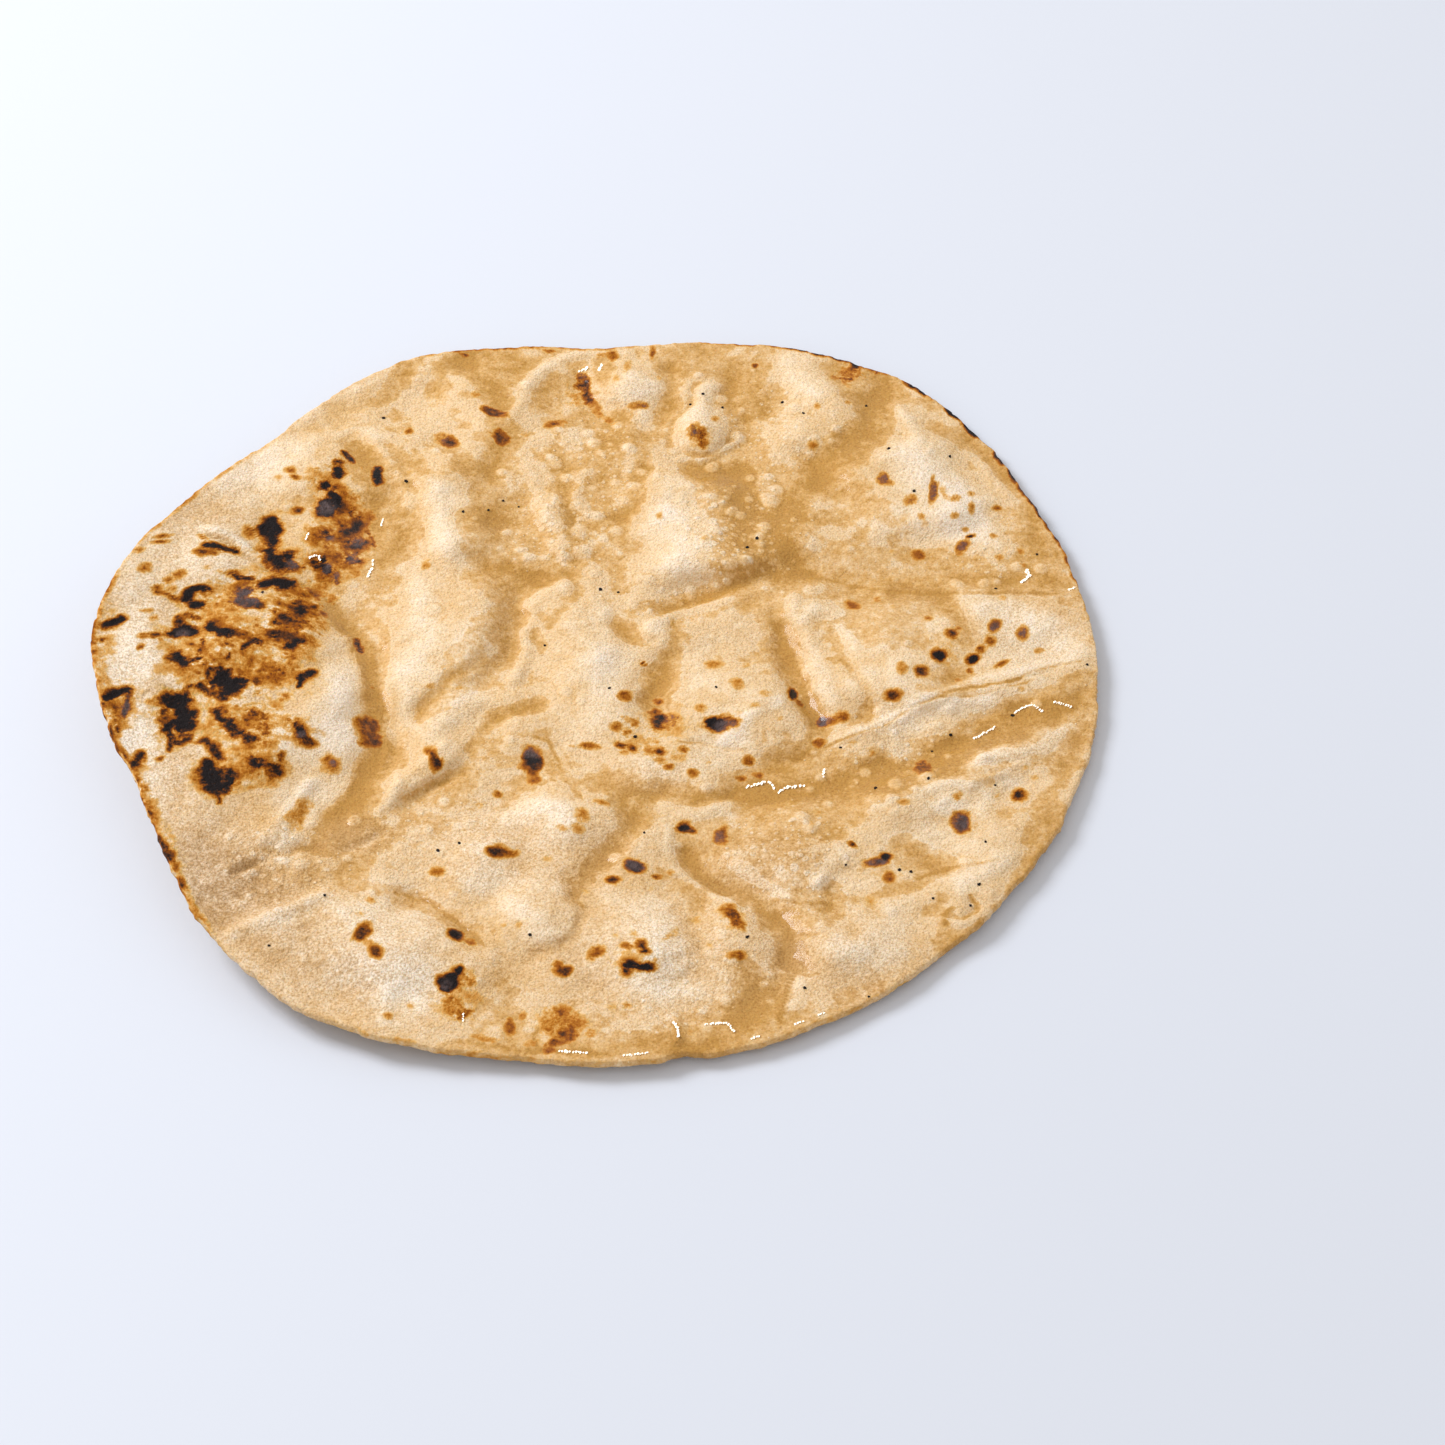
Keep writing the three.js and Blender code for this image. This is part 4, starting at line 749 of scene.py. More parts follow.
# Floury, pale and matt patches, in the same way.
FLOURY = (
    (-84, -6, 28, 52, 0.95, -6), (-72, -60, 22, 18, 0.7), (-40, -82, 10, 6, 0.6),
    (-46, -80, 30, 18, 0.65, -15), (-84, 44, 16, 14, 0.25, 35), (10, -80, 30, 18, 0.5),
    (88, 10, 15, 11, 0.4), (12, -31, 10, 7, 0.4), (-15, -52, 26, 16, 0.45), (34, -56, 14, 12, 0.4),
    (88, -25, 16, 7, 0.2, 20), (50, -80, 18, 14, 0.4), (-47, -48, 9, 7, 0.5), (-75, -58, 12, 15, 0.35),
)

# Crests of oil that glitter in the light, each a row of small flat facets: path, half width.
GLINTS = (
    (((30, -34.8), (32, -34.2), (34.4, -33.4), (35.4, -35)), 1),
    (((36.4, -36.2), (38, -35), (41.6, -34.4)), 1), (((45.4, -30.4), (45.2, -32.4)), 0.8),
    (((84.2, -14.8), (85.4, -13.6), (87.4, -12.9), (89.6, -14.6)), 0.9),
    (((92, -12), (93.4, -12.2), (95.6, -13.2)), 0.9), (((75.6, -22), (77.4, -20.6), (79.8, -19)), 0.8),
    (((87.2, 23), (89, 24.6), (88.4, 26.8)), 1.3), (((97, 20.8), (98.4, 21.4)), 0.8),
    (((-60.8, 30.2), (-59.4, 30.8), (-58.6, 29.2)), 1), (((-62.1, 36), (-61.8, 37.6)), 0.8),
    (((-47.6, 27.8), (-47.8, 29.6)), 0.8), (((-48.6, 24.6), (-47.9, 26.8)), 1.1),
    (((-23.2, -93), (-23.2, -95)), 0.7), (((-6.2, 89), (-4.2, 90.2)), 1.2),
    (((-1.8, 89.4), (-1.2, 91.6)), 1), (((16, -95), (17, -96.8), (17, -98.8)), 0.8),
    (((22, -95.6), (24, -95.2), (26, -95), (27.4, -97)), 0.9), (((30.8, -98.8), (32.6, -98)), 0.8),
    (((-5, -101.7), (-2.6, -101.9), (0, -102)), 0.8), (((7, -102.6), (9, -102.6), (11.6, -102)), 0.8),
    (((39, -95.3), (40.6, -94.4)), 0.8), (((43.4, -93), (44.8, -92.6)), 0.7),
    (((-46.6, 40), (-46.4, 42)), 0.7),
)
FACET_STEP = 0.5  # between facets along a crest
FACET_CORNERS = 6
FACET_RISE = 0.1  # how far a facet stands out of the crust at its middle
FACET_DEPTH = 0.5  # and how far it goes down into it
FACET_RADII = (0.26, 0.42)  # for each mm of the row's half width
FACET_SHIFT = 0.16  # off the row, in the same measure
FACET_JAGS = (0.65, 1.2)  # a corner's distance as a share of the radius
SPECK_SIZES = (0.8, 1.4)

# ---- How finely the surface is split ---------------------------------------------------------

TOP_RINGS = 156
UNDER_RINGS = 58
SECTORS_A_RING = 6
CURVE_STEPS = 8
RIM_ROWS = 5  # rows of points round the rim, between the two faces
RIM_UNROLLED = 0.9  # from one of these rows to the next where scorch is laid out on the plan

RAGGED_WAVES = ((23, 0, 0.2), (41, 1, 0.1))  # of the rim: waves in a round, start, depth
RAGGED_NOISE = ((1.2, 51, 0.2), (0.5, 52, 0.15))  # and patch size in degrees, seed, depth
RAGGED_FROM = 0.9  # share of the radius where that begins
DENT_DIRECTION = 280  # a small dent in the front edge
DENT_SPREAD = 1.4
DENT_DEPTH = 1.3

# ---- Studio ----------------------------------------------------------------------------------

KEY_PLACE = (-0.9, 0.5, 0.86)  # metres
KEY_SIZE = 0.5
KEY_POWER = 15.1
KEY_COLOUR = (0.91, 0.945, 1)
SKY_COLOUR = (0.985, 0.968, 0.945)
SKY_STRENGTH = 0.72
TABLE_COLOUR = (0.69, 0.715, 0.785)
TABLE_REACH = 4.0
TABLE_DROP = 0.0001  # keeps the table just clear of the underside
CAMERA_TARGET = (25.3, -9.7, -4)
LENS = 98.0
SENSOR = 36.0
NEAREST_SEEN = 0.01


# ---- Helpers on arrays of plan places --------------------------------------------------------


def smooth(value):
    t = np.clip(value, 0, 1)
    return t * t * (3 - 2 * t)


def hump(distance, reach):
    """1 on the middle line, falling smoothly to 0 at the given reach."""
    return np.clip(1 - (distance / reach) ** 2, 0, None) ** 2


def curve_points(path):
    """A Catmull-Rom curve through the path's places, as the CAD solid has."""
    places = np.array(path, float)
    ends = (2 * places[0] - places[1], 2 * places[-1] - places[-2])
    p = np.vstack([ends[0], places, ends[1]])
    points = []
    for i in range(1, len(p) - 2):
        for t in np.arange(CURVE_STEPS) / CURVE_STEPS:
            points.append(0.5 * (
                2 * p[i] + (p[i + 1] - p[i - 1]) * t
                + (2 * p[i - 1] - 5 * p[i] + 4 * p[i + 1] - p[i + 2]) * t ** 2
                + (3 * p[i] - p[i - 1] - 3 * p[i + 1] + p[i + 2]) * t ** 3))
    return np.vstack([points, p[-2:-1]])


def nearest(points, u, v):
    """Signed distance from a curve, + on its left, and how far along the nearest point is."""
    best = np.full(u.shape, np.inf)
    side = np.ones(u.shape)
    along = np.zeros(u.shape)
    pieces = len(points) - 1
    for i in range(pieces):
        du, dv = points[i + 1] - points[i]
        pu, pv = u - points[i][0], v - points[i][1]
        t = np.clip((pu * du + pv * dv) / (du * du + dv * dv), 0, 1)
        distance = np.hypot(pu - t * du, pv - t * dv)
        closer = distance < best
        best = np.where(closer, distance, best)
        side = np.where(closer, np.where(du * pv - dv * pu < 0, -1, 1), side)
        along = np.where(closer, (i + t) / pieces, along)
    return best * side, along


def oval(u, v, at_u, at_v, length, width, turn=0):
    """Distance from the middle of an oval, 1 on its outline."""
    c, s = math.cos(math.radians(turn)), math.sin(math.radians(turn))
    p = ((u - at_u) * c + (v - at_v) * s) / length
    q = ((v - at_v) * c - (u - at_u) * s) / width
    return np.hypot(p, q)


def near_place(u, v, at_u, at_v, reach):
    """Which places lie in the square round one place."""
    return (np.abs(u - at_u) < reach) & (np.abs(v - at_v) < reach)


def near_path(points, u, v, reach):
    """Which places lie in the box round a curve."""
    low, high = points.min(0) - reach, points.max(0) + reach
    return (u > low[0]) & (u < high[0]) & (v > low[1]) & (v < high[1])


def noise(u, v, size, seed):
    """Smooth noise from -1 to 1 with patches of about the given size."""
    cells = 256
    values = np.random.default_rng(seed).uniform(-1, 1, (cells, cells))
    x, y = u / size + cells / 2, v / size + cells / 2
    i, j = np.floor(x).astype(int), np.floor(y).astype(int)
    a, b = smooth(x - i), smooth(y - j)
    near = values[i % cells, j % cells] * (1 - a) + values[(i + 1) % cells, j % cells] * a
    far = values[i % cells, (j + 1) % cells] * (1 - a) + values[(i + 1) % cells, (j + 1) % cells] * a
    return near * (1 - b) + far * b


def layered(u, v, layers):
    """A sum of noises, each with its patch size, seed and depth."""
    return sum(depth * noise(u, v, size, seed) for size, seed, depth in layers)


def varied(u, v, middle, *layers):
    """A value that noise moves off its middle."""
    return middle + layered(u, v, layers)


def bent(u, v, waves, seed):
    """The places moved a little by noise, so that what is drawn at them gets a wavy outline."""
    moved = []
    for side, place in enumerate((u, v)):
        for i, (size, reach) in enumerate(waves):
            place = place + reach * noise(u, v, size, seed + 2 * side + i)
        moved.append(place)
    return moved


def patches(u, v, ovals):
    """The sum of soft ovals: u, v, half length, half width, amount, turn."""
    spread = 1.25
    total = np.zeros(u.shape)
    for at_u, at_v, length, width, amount, *turn in ovals:
        total += amount * hump(oval(u, v, at_u, at_v, length * spread, width * spread, *turn), 1)
    return total


def scattered(count, seed, keep):
    """Seeded places on the disc, each kept with the chance that keep(u, v) gives."""
    tries_each, margin = 8, 2
    draw = np.random.default_rng(seed)
    tries = count * tries_each
    angle = draw.uniform(0, 2 * math.pi, tries)
    radius = np.sqrt(draw.uniform(0, 1, tries)) * (RADIUS - margin)
    u, v = radius * np.cos(angle), radius * np.sin(angle)
    chosen = draw.uniform(0, 1, tries) < keep(u, v)
    size = draw.uniform(0, 1, tries)
    return list(zip(u[chosen], v[chosen], size[chosen]))[:count]


def turn_between(a, b):
    """Difference of two directions in degrees, from -180 to 180."""
    return (a - b + 180) % 360 - 180


def facing(direction, at, spread):
    """1 in the direction at, fading to 0 away from it."""
    return np.exp(-((turn_between(direction, at) / spread) ** 2))


# ---- The main forms, as in the CAD solid -----------------------------------------------------


def outline_radius(direction):
    radius = np.full(direction.shape, float(RADIUS))
    for at, spread, swell in SWELLS:
        radius += swell * facing(direction, at, spread)
    return radius


def fold_height(fold, u, v, taper=FOLD_TAPER):
    path, height, left, right = fold
    points = curve_points(path)
    inside = near_path(points, u, v, max(left, right))
    fu, fv = u[inside], v[inside]
    chord = points[-1] - points[0]
    t = ((fu - points[0][0]) * chord[0] + (fv - points[0][1]) * chord[1]) / (chord @ chord)
    ends = smooth(t / taper) * smooth((1 - t) / taper)
    offset, _ = nearest(points, fu, fv)
    out = np.zeros(u.shape)
    out[inside] = height * ends * hump(offset, np.where(offset > 0, left, right))
    return out


def ripple_height(u, v):
    height = np.zeros(u.shape)
    for i, (wave, depth) in enumerate(RIPPLES):
        across = u * math.cos(GOLDEN_TURN * i) + v * math.sin(GOLDEN_TURN * i)
        bend = np.sin(v / SLOW_V + i) + np.sin(u / SLOW_U - i)
        turn = 2 * math.pi * across / wave + RIPPLE_START * i + RIPPLE_BEND * bend
        height += depth * np.sin(turn)
    return height


def curl_height(u, v):
    side = facing(np.degrees(np.arctan2(v, u)), CURL_DIRECTION, CURL_SPREAD)
    out = np.clip((np.hypot(u, v) - CURL_START) / (RADIUS - CURL_START), 0, None)
    return CURL_HEIGHT * side * out ** CURL_POWER


def flap_share(u, v, from_rim):
    """How much of the flap's height a place has: 1 on it, falling over the step to 0."""
    offset, along = nearest(curve_points(FLAP_FOOT), u, v)
    step = np.interp(along, np.linspace(0, 1, len(FLAP_STEP)), FLAP_STEP)
    front = smooth((v - FLAP_FADE[0]) / (FLAP_FADE[1] - FLAP_FADE[0]))
    return smooth(-offset / step) * front * smooth(from_rim / FLAP_RIM)


def main_relief(u, v, from_rim):
    relief = ripple_height(u, v)
    for *dome, height in DOMES:
        relief += height * hump(oval(u, v, *dome), 1)
    for fold in FOLDS:
        relief += fold_height(fold, u, v)
    return relief * (EDGE_SHARE + (1 - EDGE_SHARE) * smooth(from_rim / EDGE_CALM))


def main_height(u, v, from_rim, relief):
    curl = curl_height(u, v)
    level = FLAP_TOP + (FLAP_INNER - u) * FLAP_RISE - np.clip(v, 0, None) * FLAP_FALL
    flap = np.clip(level - curl, 0, None) * flap_share(u, v, from_rim)
    return np.clip(REST_HEIGHT + curl + flap + relief, LOWEST_TOP, None)


def lean(u, v, top):
    share = (top - LEAN_FROM) / (LEAN_POINT[2] - LEAN_FROM)
    return u + (LEAN_POINT[0] - u) * share, v + (LEAN_POINT[1] - v) * share


# ---- Fine relief -----------------------------------------------------------------------------


def draw_strokes(strokes, u, v):
    """Tone and height of round-ended strokes."""
    tone, height = np.zeros(u.shape), np.zeros(u.shape)
    for path, width, depth, rise in strokes:
        points = curve_points(path)
        inside = near_path(points, u, v, width)
        offset, _ = nearest(points, u[inside], v[inside])
        share = hump(offset, width)
        tone[inside] += depth * share
        height[inside] += rise * share
    return tone, height


def blister_crowding(u, v):
    crowd = np.full(u.shape, SPARSE)
    for at_u, at_v, reach, weight in BLISTERED:
        crowd = np.maximum(crowd, weight * hump(np.hypot(u - at_u, v - at_v), reach))
    return crowd


def add_round(target, u, v, blister, height, power):
    """Adds a small round bubble to target, looking only at the places near it."""
    at_u, at_v, radius = blister
    near = near_place(u, v, at_u, at_v, radius)
    distance = np.hypot(u[near] - at_u, v[near] - at_v) / radius
    target[near] += height * np.clip(1 - distance ** 2, 0, None) ** power


def all_blisters():
    low, high = SMALL_BLISTER_RADII
    small = scattered(SMALL_BLISTERS, BLISTER_SEED, blister_crowding)
    return list(BLISTERS) + [(u, v, low + (high - low) * size ** 2) for u, v, size in small]


def bubble_edges(u, v):
    """How far inside the outline of the nearest blister a place is, in millimetres."""
    edge = np.full(u.shape, -BLISTER_REACH)
    for at_u, at_v, radius in all_blisters():
        near = near_place(u, v, at_u, at_v, radius + BLISTER_REACH)
        edge[near] = np.maximum(edge[near], radius - np.hypot(u[near] - at_u, v[near] - at_v))
    return edge


def fine_fields(u, v, from_rim):
    """Tone and height of the fine relief, before any scorch."""
    # Stroke and line tones are partly painted: shade on slopes and in creases, light on lit crests.
    tone, fine = draw_strokes(STROKES, *bent(u, v, STROKE_WAVES, STROKE_SEED))
    thin_tone, thin = draw_strokes(LINES, *bent(u, v, LINE_WAVES, LINE_SEED))
    tone, fine = tone + thin_tone, STROKE_RISE * fine + thin
    for wrinkle in WRINKLES:
        fine += fold_height(wrinkle, u, v, WRINKLE_TAPER)
    for blister in all_blisters():
        add_round(fine, u, v, blister, BLISTER_RISE * blister[2], RISE_SOFTNESS)
        add_round(tone, u, v, blister, BLISTER_TONE, TONE_SOFTNESS)
    fine += layered(u, v, CRUMB)
    # The broad patches of tone are partly painted light and shade.
    tone += patches(u, v, TONE_AND_PAINTED_LIGHT) * TONE_AND_PAINTED_LIGHT_SHARE + layered(u, v, CRUMB_TONES)
    return tone, fine * smooth(from_rim / FINE_CALM)


def char_relief(u, v, heat):
    share = smooth((heat - CRUSTED[0]) / (CRUSTED[1] - CRUSTED[0]))
    return share * (layered(u, v, CHAR_CRUMB) - CHAR_SINK)


# ---- Fields of scorch, oil and flour ---------------------------------------------------------


def heat_profile(outside, radius, peak, edge, soft):
    """Heat at a distance outside an outline: steeply to its peak inside, slowly down to none."""
    outline = min(edge, FAINT_OUTLINE * peak)
    inner = outline - (peak - outline) * outside / (CORE_SHARE * min(radius, CORE_RADIUS))
    outer = outline * (1 - np.clip(outside / soft, 0, 1)) ** FRINGE_FALL
    return np.where(outside > 0, outer, np.minimum(inner, peak))


def warping(u, v, seed):
    """Two noise fields that bend the outlines of scorched spots."""
    return [
        layered(u, v, [(size, seed + 2 * k + i, share) for k, (size, share) in enumerate(WARPS)])
        for i in range(2)
    ]


def warped(u, v, warp, near, amount):
    return u[near] + amount * warp[0][near], v[near] + amount * warp[1][near]


def scorch_strokes(heat, u, v, warp):
    for peak, strokes in CHARS.items():
        for path, width in strokes:
            points = curve_points(path)
            soft = CHAR_FRINGE * min(1, width)
            near = near_path(points, u, v, width + FRINGE_REACH * soft)
            bend = min(MOST_STROKE_BEND, STROKE_BEND * width)
            distance, _ = nearest(points, *warped(u, v, warp, near, bend))
            profile = heat_profile(np.abs(distance) - width, width, peak, CHAR_OUTLINE, soft)
            heat[near] = np.maximum(heat[near], profile)


def scorch(heat, u, v, spots, warp, edge=OUTLINE, fringe=FRINGE):
    """Raises heat at each spot, which is round if it has no width of its own."""
    for peak, ovals in spots.items():
        for at_u, at_v, length, *rest in ovals:
            width, turn = rest + [length, 0][len(rest):]
            radius = math.sqrt(length * width) / 2
            soft = fringe * min(1, radius)
            near = near_place(u, v, at_u, at_v, max(length, width) / 2 + FRINGE_REACH * soft)
            bend = min(MOST_SPOT_BEND, SPOT_BEND * (length + width) / 2)
            pu, pv = warped(u, v, warp, near, bend)
            outside = (oval(pu, pv, at_u, at_v, length / 2, width / 2, turn) - 1) * radius
            heat[near] = np.maximum(heat[near], heat_profile(outside, radius, peak, edge, soft))


def top_heat(u, v, from_rim, direction):
    heat = np.zeros(u.shape)
    warp = warping(u, v, SCORCH_SEED)
    scorch(heat, u, v, FLAP_SPOTS, warp, CHAR_OUTLINE, CHAR_FRINGE)
    scorch_strokes(heat, u, v, warp)
    scorch(heat, u, v, OPEN_SPOTS, warp)
    uneven = np.clip(RIM_MEAN + layered(u, v, RIM_MOTTLES), 0, RIM_MOST)
    for at, spread, peak, reach in RIM_SCORCH:
        stretch = peak * facing(direction, at, spread)
        heat = np.maximum(heat, stretch * uneven * (1 - smooth(from_rim / reach)))
    return heat


def top_haze(u, v):
    spread = 1.3
    clear = np.ones(u.shape)
    for at_u, at_v, length, width, amount, *turn in HAZES:
        share = hump(oval(u, v, at_u, at_v, spread * length, spread * width, *turn), 1)
        clear *= 1 - np.clip(amount * share, 0, 1)
    return 1 - clear


# Grey ash on char, with painted sheen in the same bloom.
def top_ash_and_sheen(u, v):
    ash_and_sheen = np.zeros(u.shape)
    full, none = ASH_AND_SHEEN_FADE
    for ash_and_sheen_bloom in ASH_AND_SHEEN:
        ash_and_sheen = np.maximum(ash_and_sheen, 1 - smooth((oval(u, v, *ash_and_sheen_bloom) - full) / (none - full)))
    return ash_and_sheen


def top_fields(u, v, from_rim, direction, relief, tone):
    raised = relief - RELIEF_MIDDLE
    return {
        "scorch": top_heat(u, v, from_rim, direction),
        "haze": top_haze(u, v),
        "ash_and_sheen": top_ash_and_sheen(u, v),
        "wet": WET_MIDDLE - WET_FALL * raised + patches(u, v, WETNESS) + WET_TONE * tone,
        "flour": np.clip(patches(u, v, FLOURY), 0, 1),
        "blistered": blister_crowding(u, v),
        "bubble": bubble_edges(u, v),
        "tone": TONE_MIDDLE - TONE_FALL * raised + TONE_SHARE * tone,
    }


def under_fields(u, v):
    """The underside, which was baked first: dry, floury, with scattered round scorch marks."""
    heat = np.zeros(u.shape)
    warp = warping(u, v, UNDER_SCORCH_SEED)
    small, large = UNDER_SPOT_SIZES
    cool, hot = UNDER_SPOT_HEATS

    def crowd(a, b):
        return np.clip(varied(a, b, *UNDER_CROWD), UNDER_LEAST_CROWD, 1)

    for at_u, at_v, size in scattered(UNDER_SPOTS, UNDER_SPOT_SEED, crowd):
        width = small + (large - small) * size ** 3
        mark = (at_u, at_v, width, width * UNDER_SPOT_SHAPE, UNDER_SPOT_TURN * size)
        scorch(heat, u, v, {cool + (hot - cool) * size: (mark,)}, warp)
    return {
        "scorch": heat,
        "haze": UNDER_MOST_HAZE * smooth(varied(u, v, *UNDER_HAZE)),
        "ash_and_sheen": np.zeros(u.shape),
        "wet": np.full(u.shape, UNDER_WET),
        "flour": np.clip(varied(u, v, *UNDER_FLOUR), 0, 1),
        "blistered": np.full(u.shape, UNDER_BLISTERED),
        "bubble": np.full(u.shape, -BLISTER_REACH),
        "tone": varied(u, v, *UNDER_TONE),
    }


# ---- The bread's mesh ------------------------------------------------------------------------


def ring_places(rings, last_count=None):
    """Direction and share of the radius for rings of points, the first one a single point."""
    counts = [max(1, ring * SECTORS_A_RING) for ring in range(rings + 1)]
    if last_count:
        counts[-1] = last_count
    direction = np.concatenate([360 * np.arange(n) / n for n in counts])
    share = np.concatenate([np.full(n, ring / rings) for ring, n in enumerate(counts)])
    return counts, direction, share


def plan(direction, share):
    """Places on the plan and how far they are from the smooth outline."""
    angle = np.radians(direction)
    ragged = -DENT_DEPTH * facing(direction, DENT_DIRECTION, DENT_SPREAD)
    for waves, start, depth in RAGGED_WAVES:
        ragged += depth * np.sin(angle * waves + start)
    ragged += layered(direction, np.zeros(direction.shape), RAGGED_NOISE)
    outline = outline_radius(direction)
    radius = (outline + ragged * smooth((share - RAGGED_FROM) / (1 - RAGGED_FROM))) * share
    return radius * np.cos(angle), radius * np.sin(angle), outline * (1 - share)


def band_triangles(inner, outer):
    """Splits the band between two rings of point numbers into triangles, the same way round."""
    triangles = []
    i = 0
    for j in range(len(outer)):
        here = inner[i % len(inner)]
        after = outer[(j + 1) % len(outer)]
        triangles.append((here, outer[j], after))
        if len(inner) > 1 and (i + 0.5) / len(inner) < (j + 1) / len(outer):
            i += 1
            triangles.append((here, after, inner[i % len(inner)]))
    return triangles


def disc_triangles(counts, first):
    starts = first + np.concatenate([[0], np.cumsum(counts)])
    rings = [list(range(starts[k], starts[k + 1])) for k in range(len(counts))]
    triangles = []
    for inner, outer in zip(rings, rings[1:]):
        triangles += band_triangles(inner, outer)
    return triangles, rings[-1]


def wall_triangles(lower, upper):
    triangles = []
    for k in range(len(lower)):
        after = (k + 1) % len(lower)
        triangles.append((lower[k], lower[after], upper[after]))
        triangles.append((lower[k], upper[after], upper[k]))
    return triangles


def main_sheet(u, v, from_rim):
    """The main form at some places of the plan: where they are, and their two heights."""
    relief = main_relief(u, v, from_rim)
    main = main_height(u, v, from_rim, relief)
    x, y = lean(u, v, main)
    dough = EDGE_DOUGH + (DOUGH - EDGE_DOUGH) * smooth(from_rim / EDGE_THINNING)
    return {"x": x, "y": y, "main": main, "under": np.clip(main - dough, 0, None), "relief": relief}


def top_face(u, v, from_rim, direction):
    """Everything known of the top face at some places of the plan, in millimetres."""
    sheet = main_sheet(u, v, from_rim)
    tone, fine = fine_fields(u, v, from_rim)
    fields = top_fields(u, v, from_rim, direction, sheet["relief"], tone)
    top = sheet["main"] + fine + char_relief(u, v, fields["scorch"])
    top = np.clip(top, LOWEST_FINE_TOP, None)
    return {**sheet, "u": u, "v": v, "top": top, "fields": fields}


def toward(place, target):
    away = np.array(target) - place
    return away / np.linalg.norm(away)


def island_places(draw):
    """Middles and radii of the oil facets and then of the specks, and how many facets there are."""
    places = []
    for path, width in GLINTS:
        points = curve_points(path)
        along = np.concatenate([[0], np.cumsum(np.hypot(*np.diff(points, axis=0).T))])
        for at in np.arange(0, along[-1], FACET_STEP):
            place = [
                np.interp(at, along, points[:, k]) + draw.uniform(-FACET_SHIFT, FACET_SHIFT) * width
                for k in (0, 1)
            ]
            places.append((*place, width * draw.uniform(*FACET_RADII)))
    facets = len(places)
    places += [(a, b, SPECK_RADIUS * draw.uniform(*SPECK_SIZES)) for a, b in SPECKS]
    return places, facets


def islands(first):
    """Small flat facets of oil, turned so that they catch the key light, and crumbs of char."""
    draw = np.random.default_rng(ISLAND_SEED)
    places, facets = island_places(draw)
    size = FACET_CORNERS + 1
    u, v = [], []
    for at_u, at_v, radius in places:
        turn = draw.uniform(0, 2 * math.pi) + 2 * math.pi * np.arange(FACET_CORNERS) / FACET_CORNERS
        out = radius * draw.uniform(*FACET_JAGS, FACET_CORNERS)
        u += [at_u, *(at_u + out * np.cos(turn))]
        v += [at_v, *(at_v + out * np.sin(turn))]
    u, v = np.array(u), np.array(v)
    around = np.degrees(np.arctan2(v, u))
    here = top_face(u, v, outline_radius(around) - np.hypot(u, v), around)
    here["fields"]["scorch"][facets * size:] = BLACK
    here["fields"]["wet"][facets * size:] = -1
    points, triangles, shiny = [], [], []
    for start in range(0, len(u), size):
        is_oil = start < facets * size
        x, y, top = (here[k][start:start + size] for k in ("x", "y", "top"))
        middle = np.array([x[0], y[0], top[0] + FACET_RISE])
        half = toward(middle, LEAN_POINT) + toward(middle, np.array(KEY_PLACE) / MM)
        level = middle[2] - is_oil * (half[0] * (x - x[0]) + half[1] * (y - y[0])) / half[2]
        base = first + 2 * len(points) * size
        heights = np.concatenate([level, top - FACET_DEPTH])
        points.append(np.column_stack([np.tile(x, 2), np.tile(y, 2), heights]))
        for k in range(1, size):
            after = k % FACET_CORNERS + 1
            triangles += [
                (base, base + k, base + after),
                (base + size, base + size + after, base + size + k),
                (base + k, base + size + k, base + size + after),
                (base + k, base + size + after, base + after),
            ]
            shiny += [int(is_oil), 0, 0, 0]
    fields = {
        name: np.concatenate([np.tile(field[k:k + size], 2) for k in range(0, len(u), size)])
        for name, field in here["fields"].items()
    }
    return points, fields, triangles, shiny


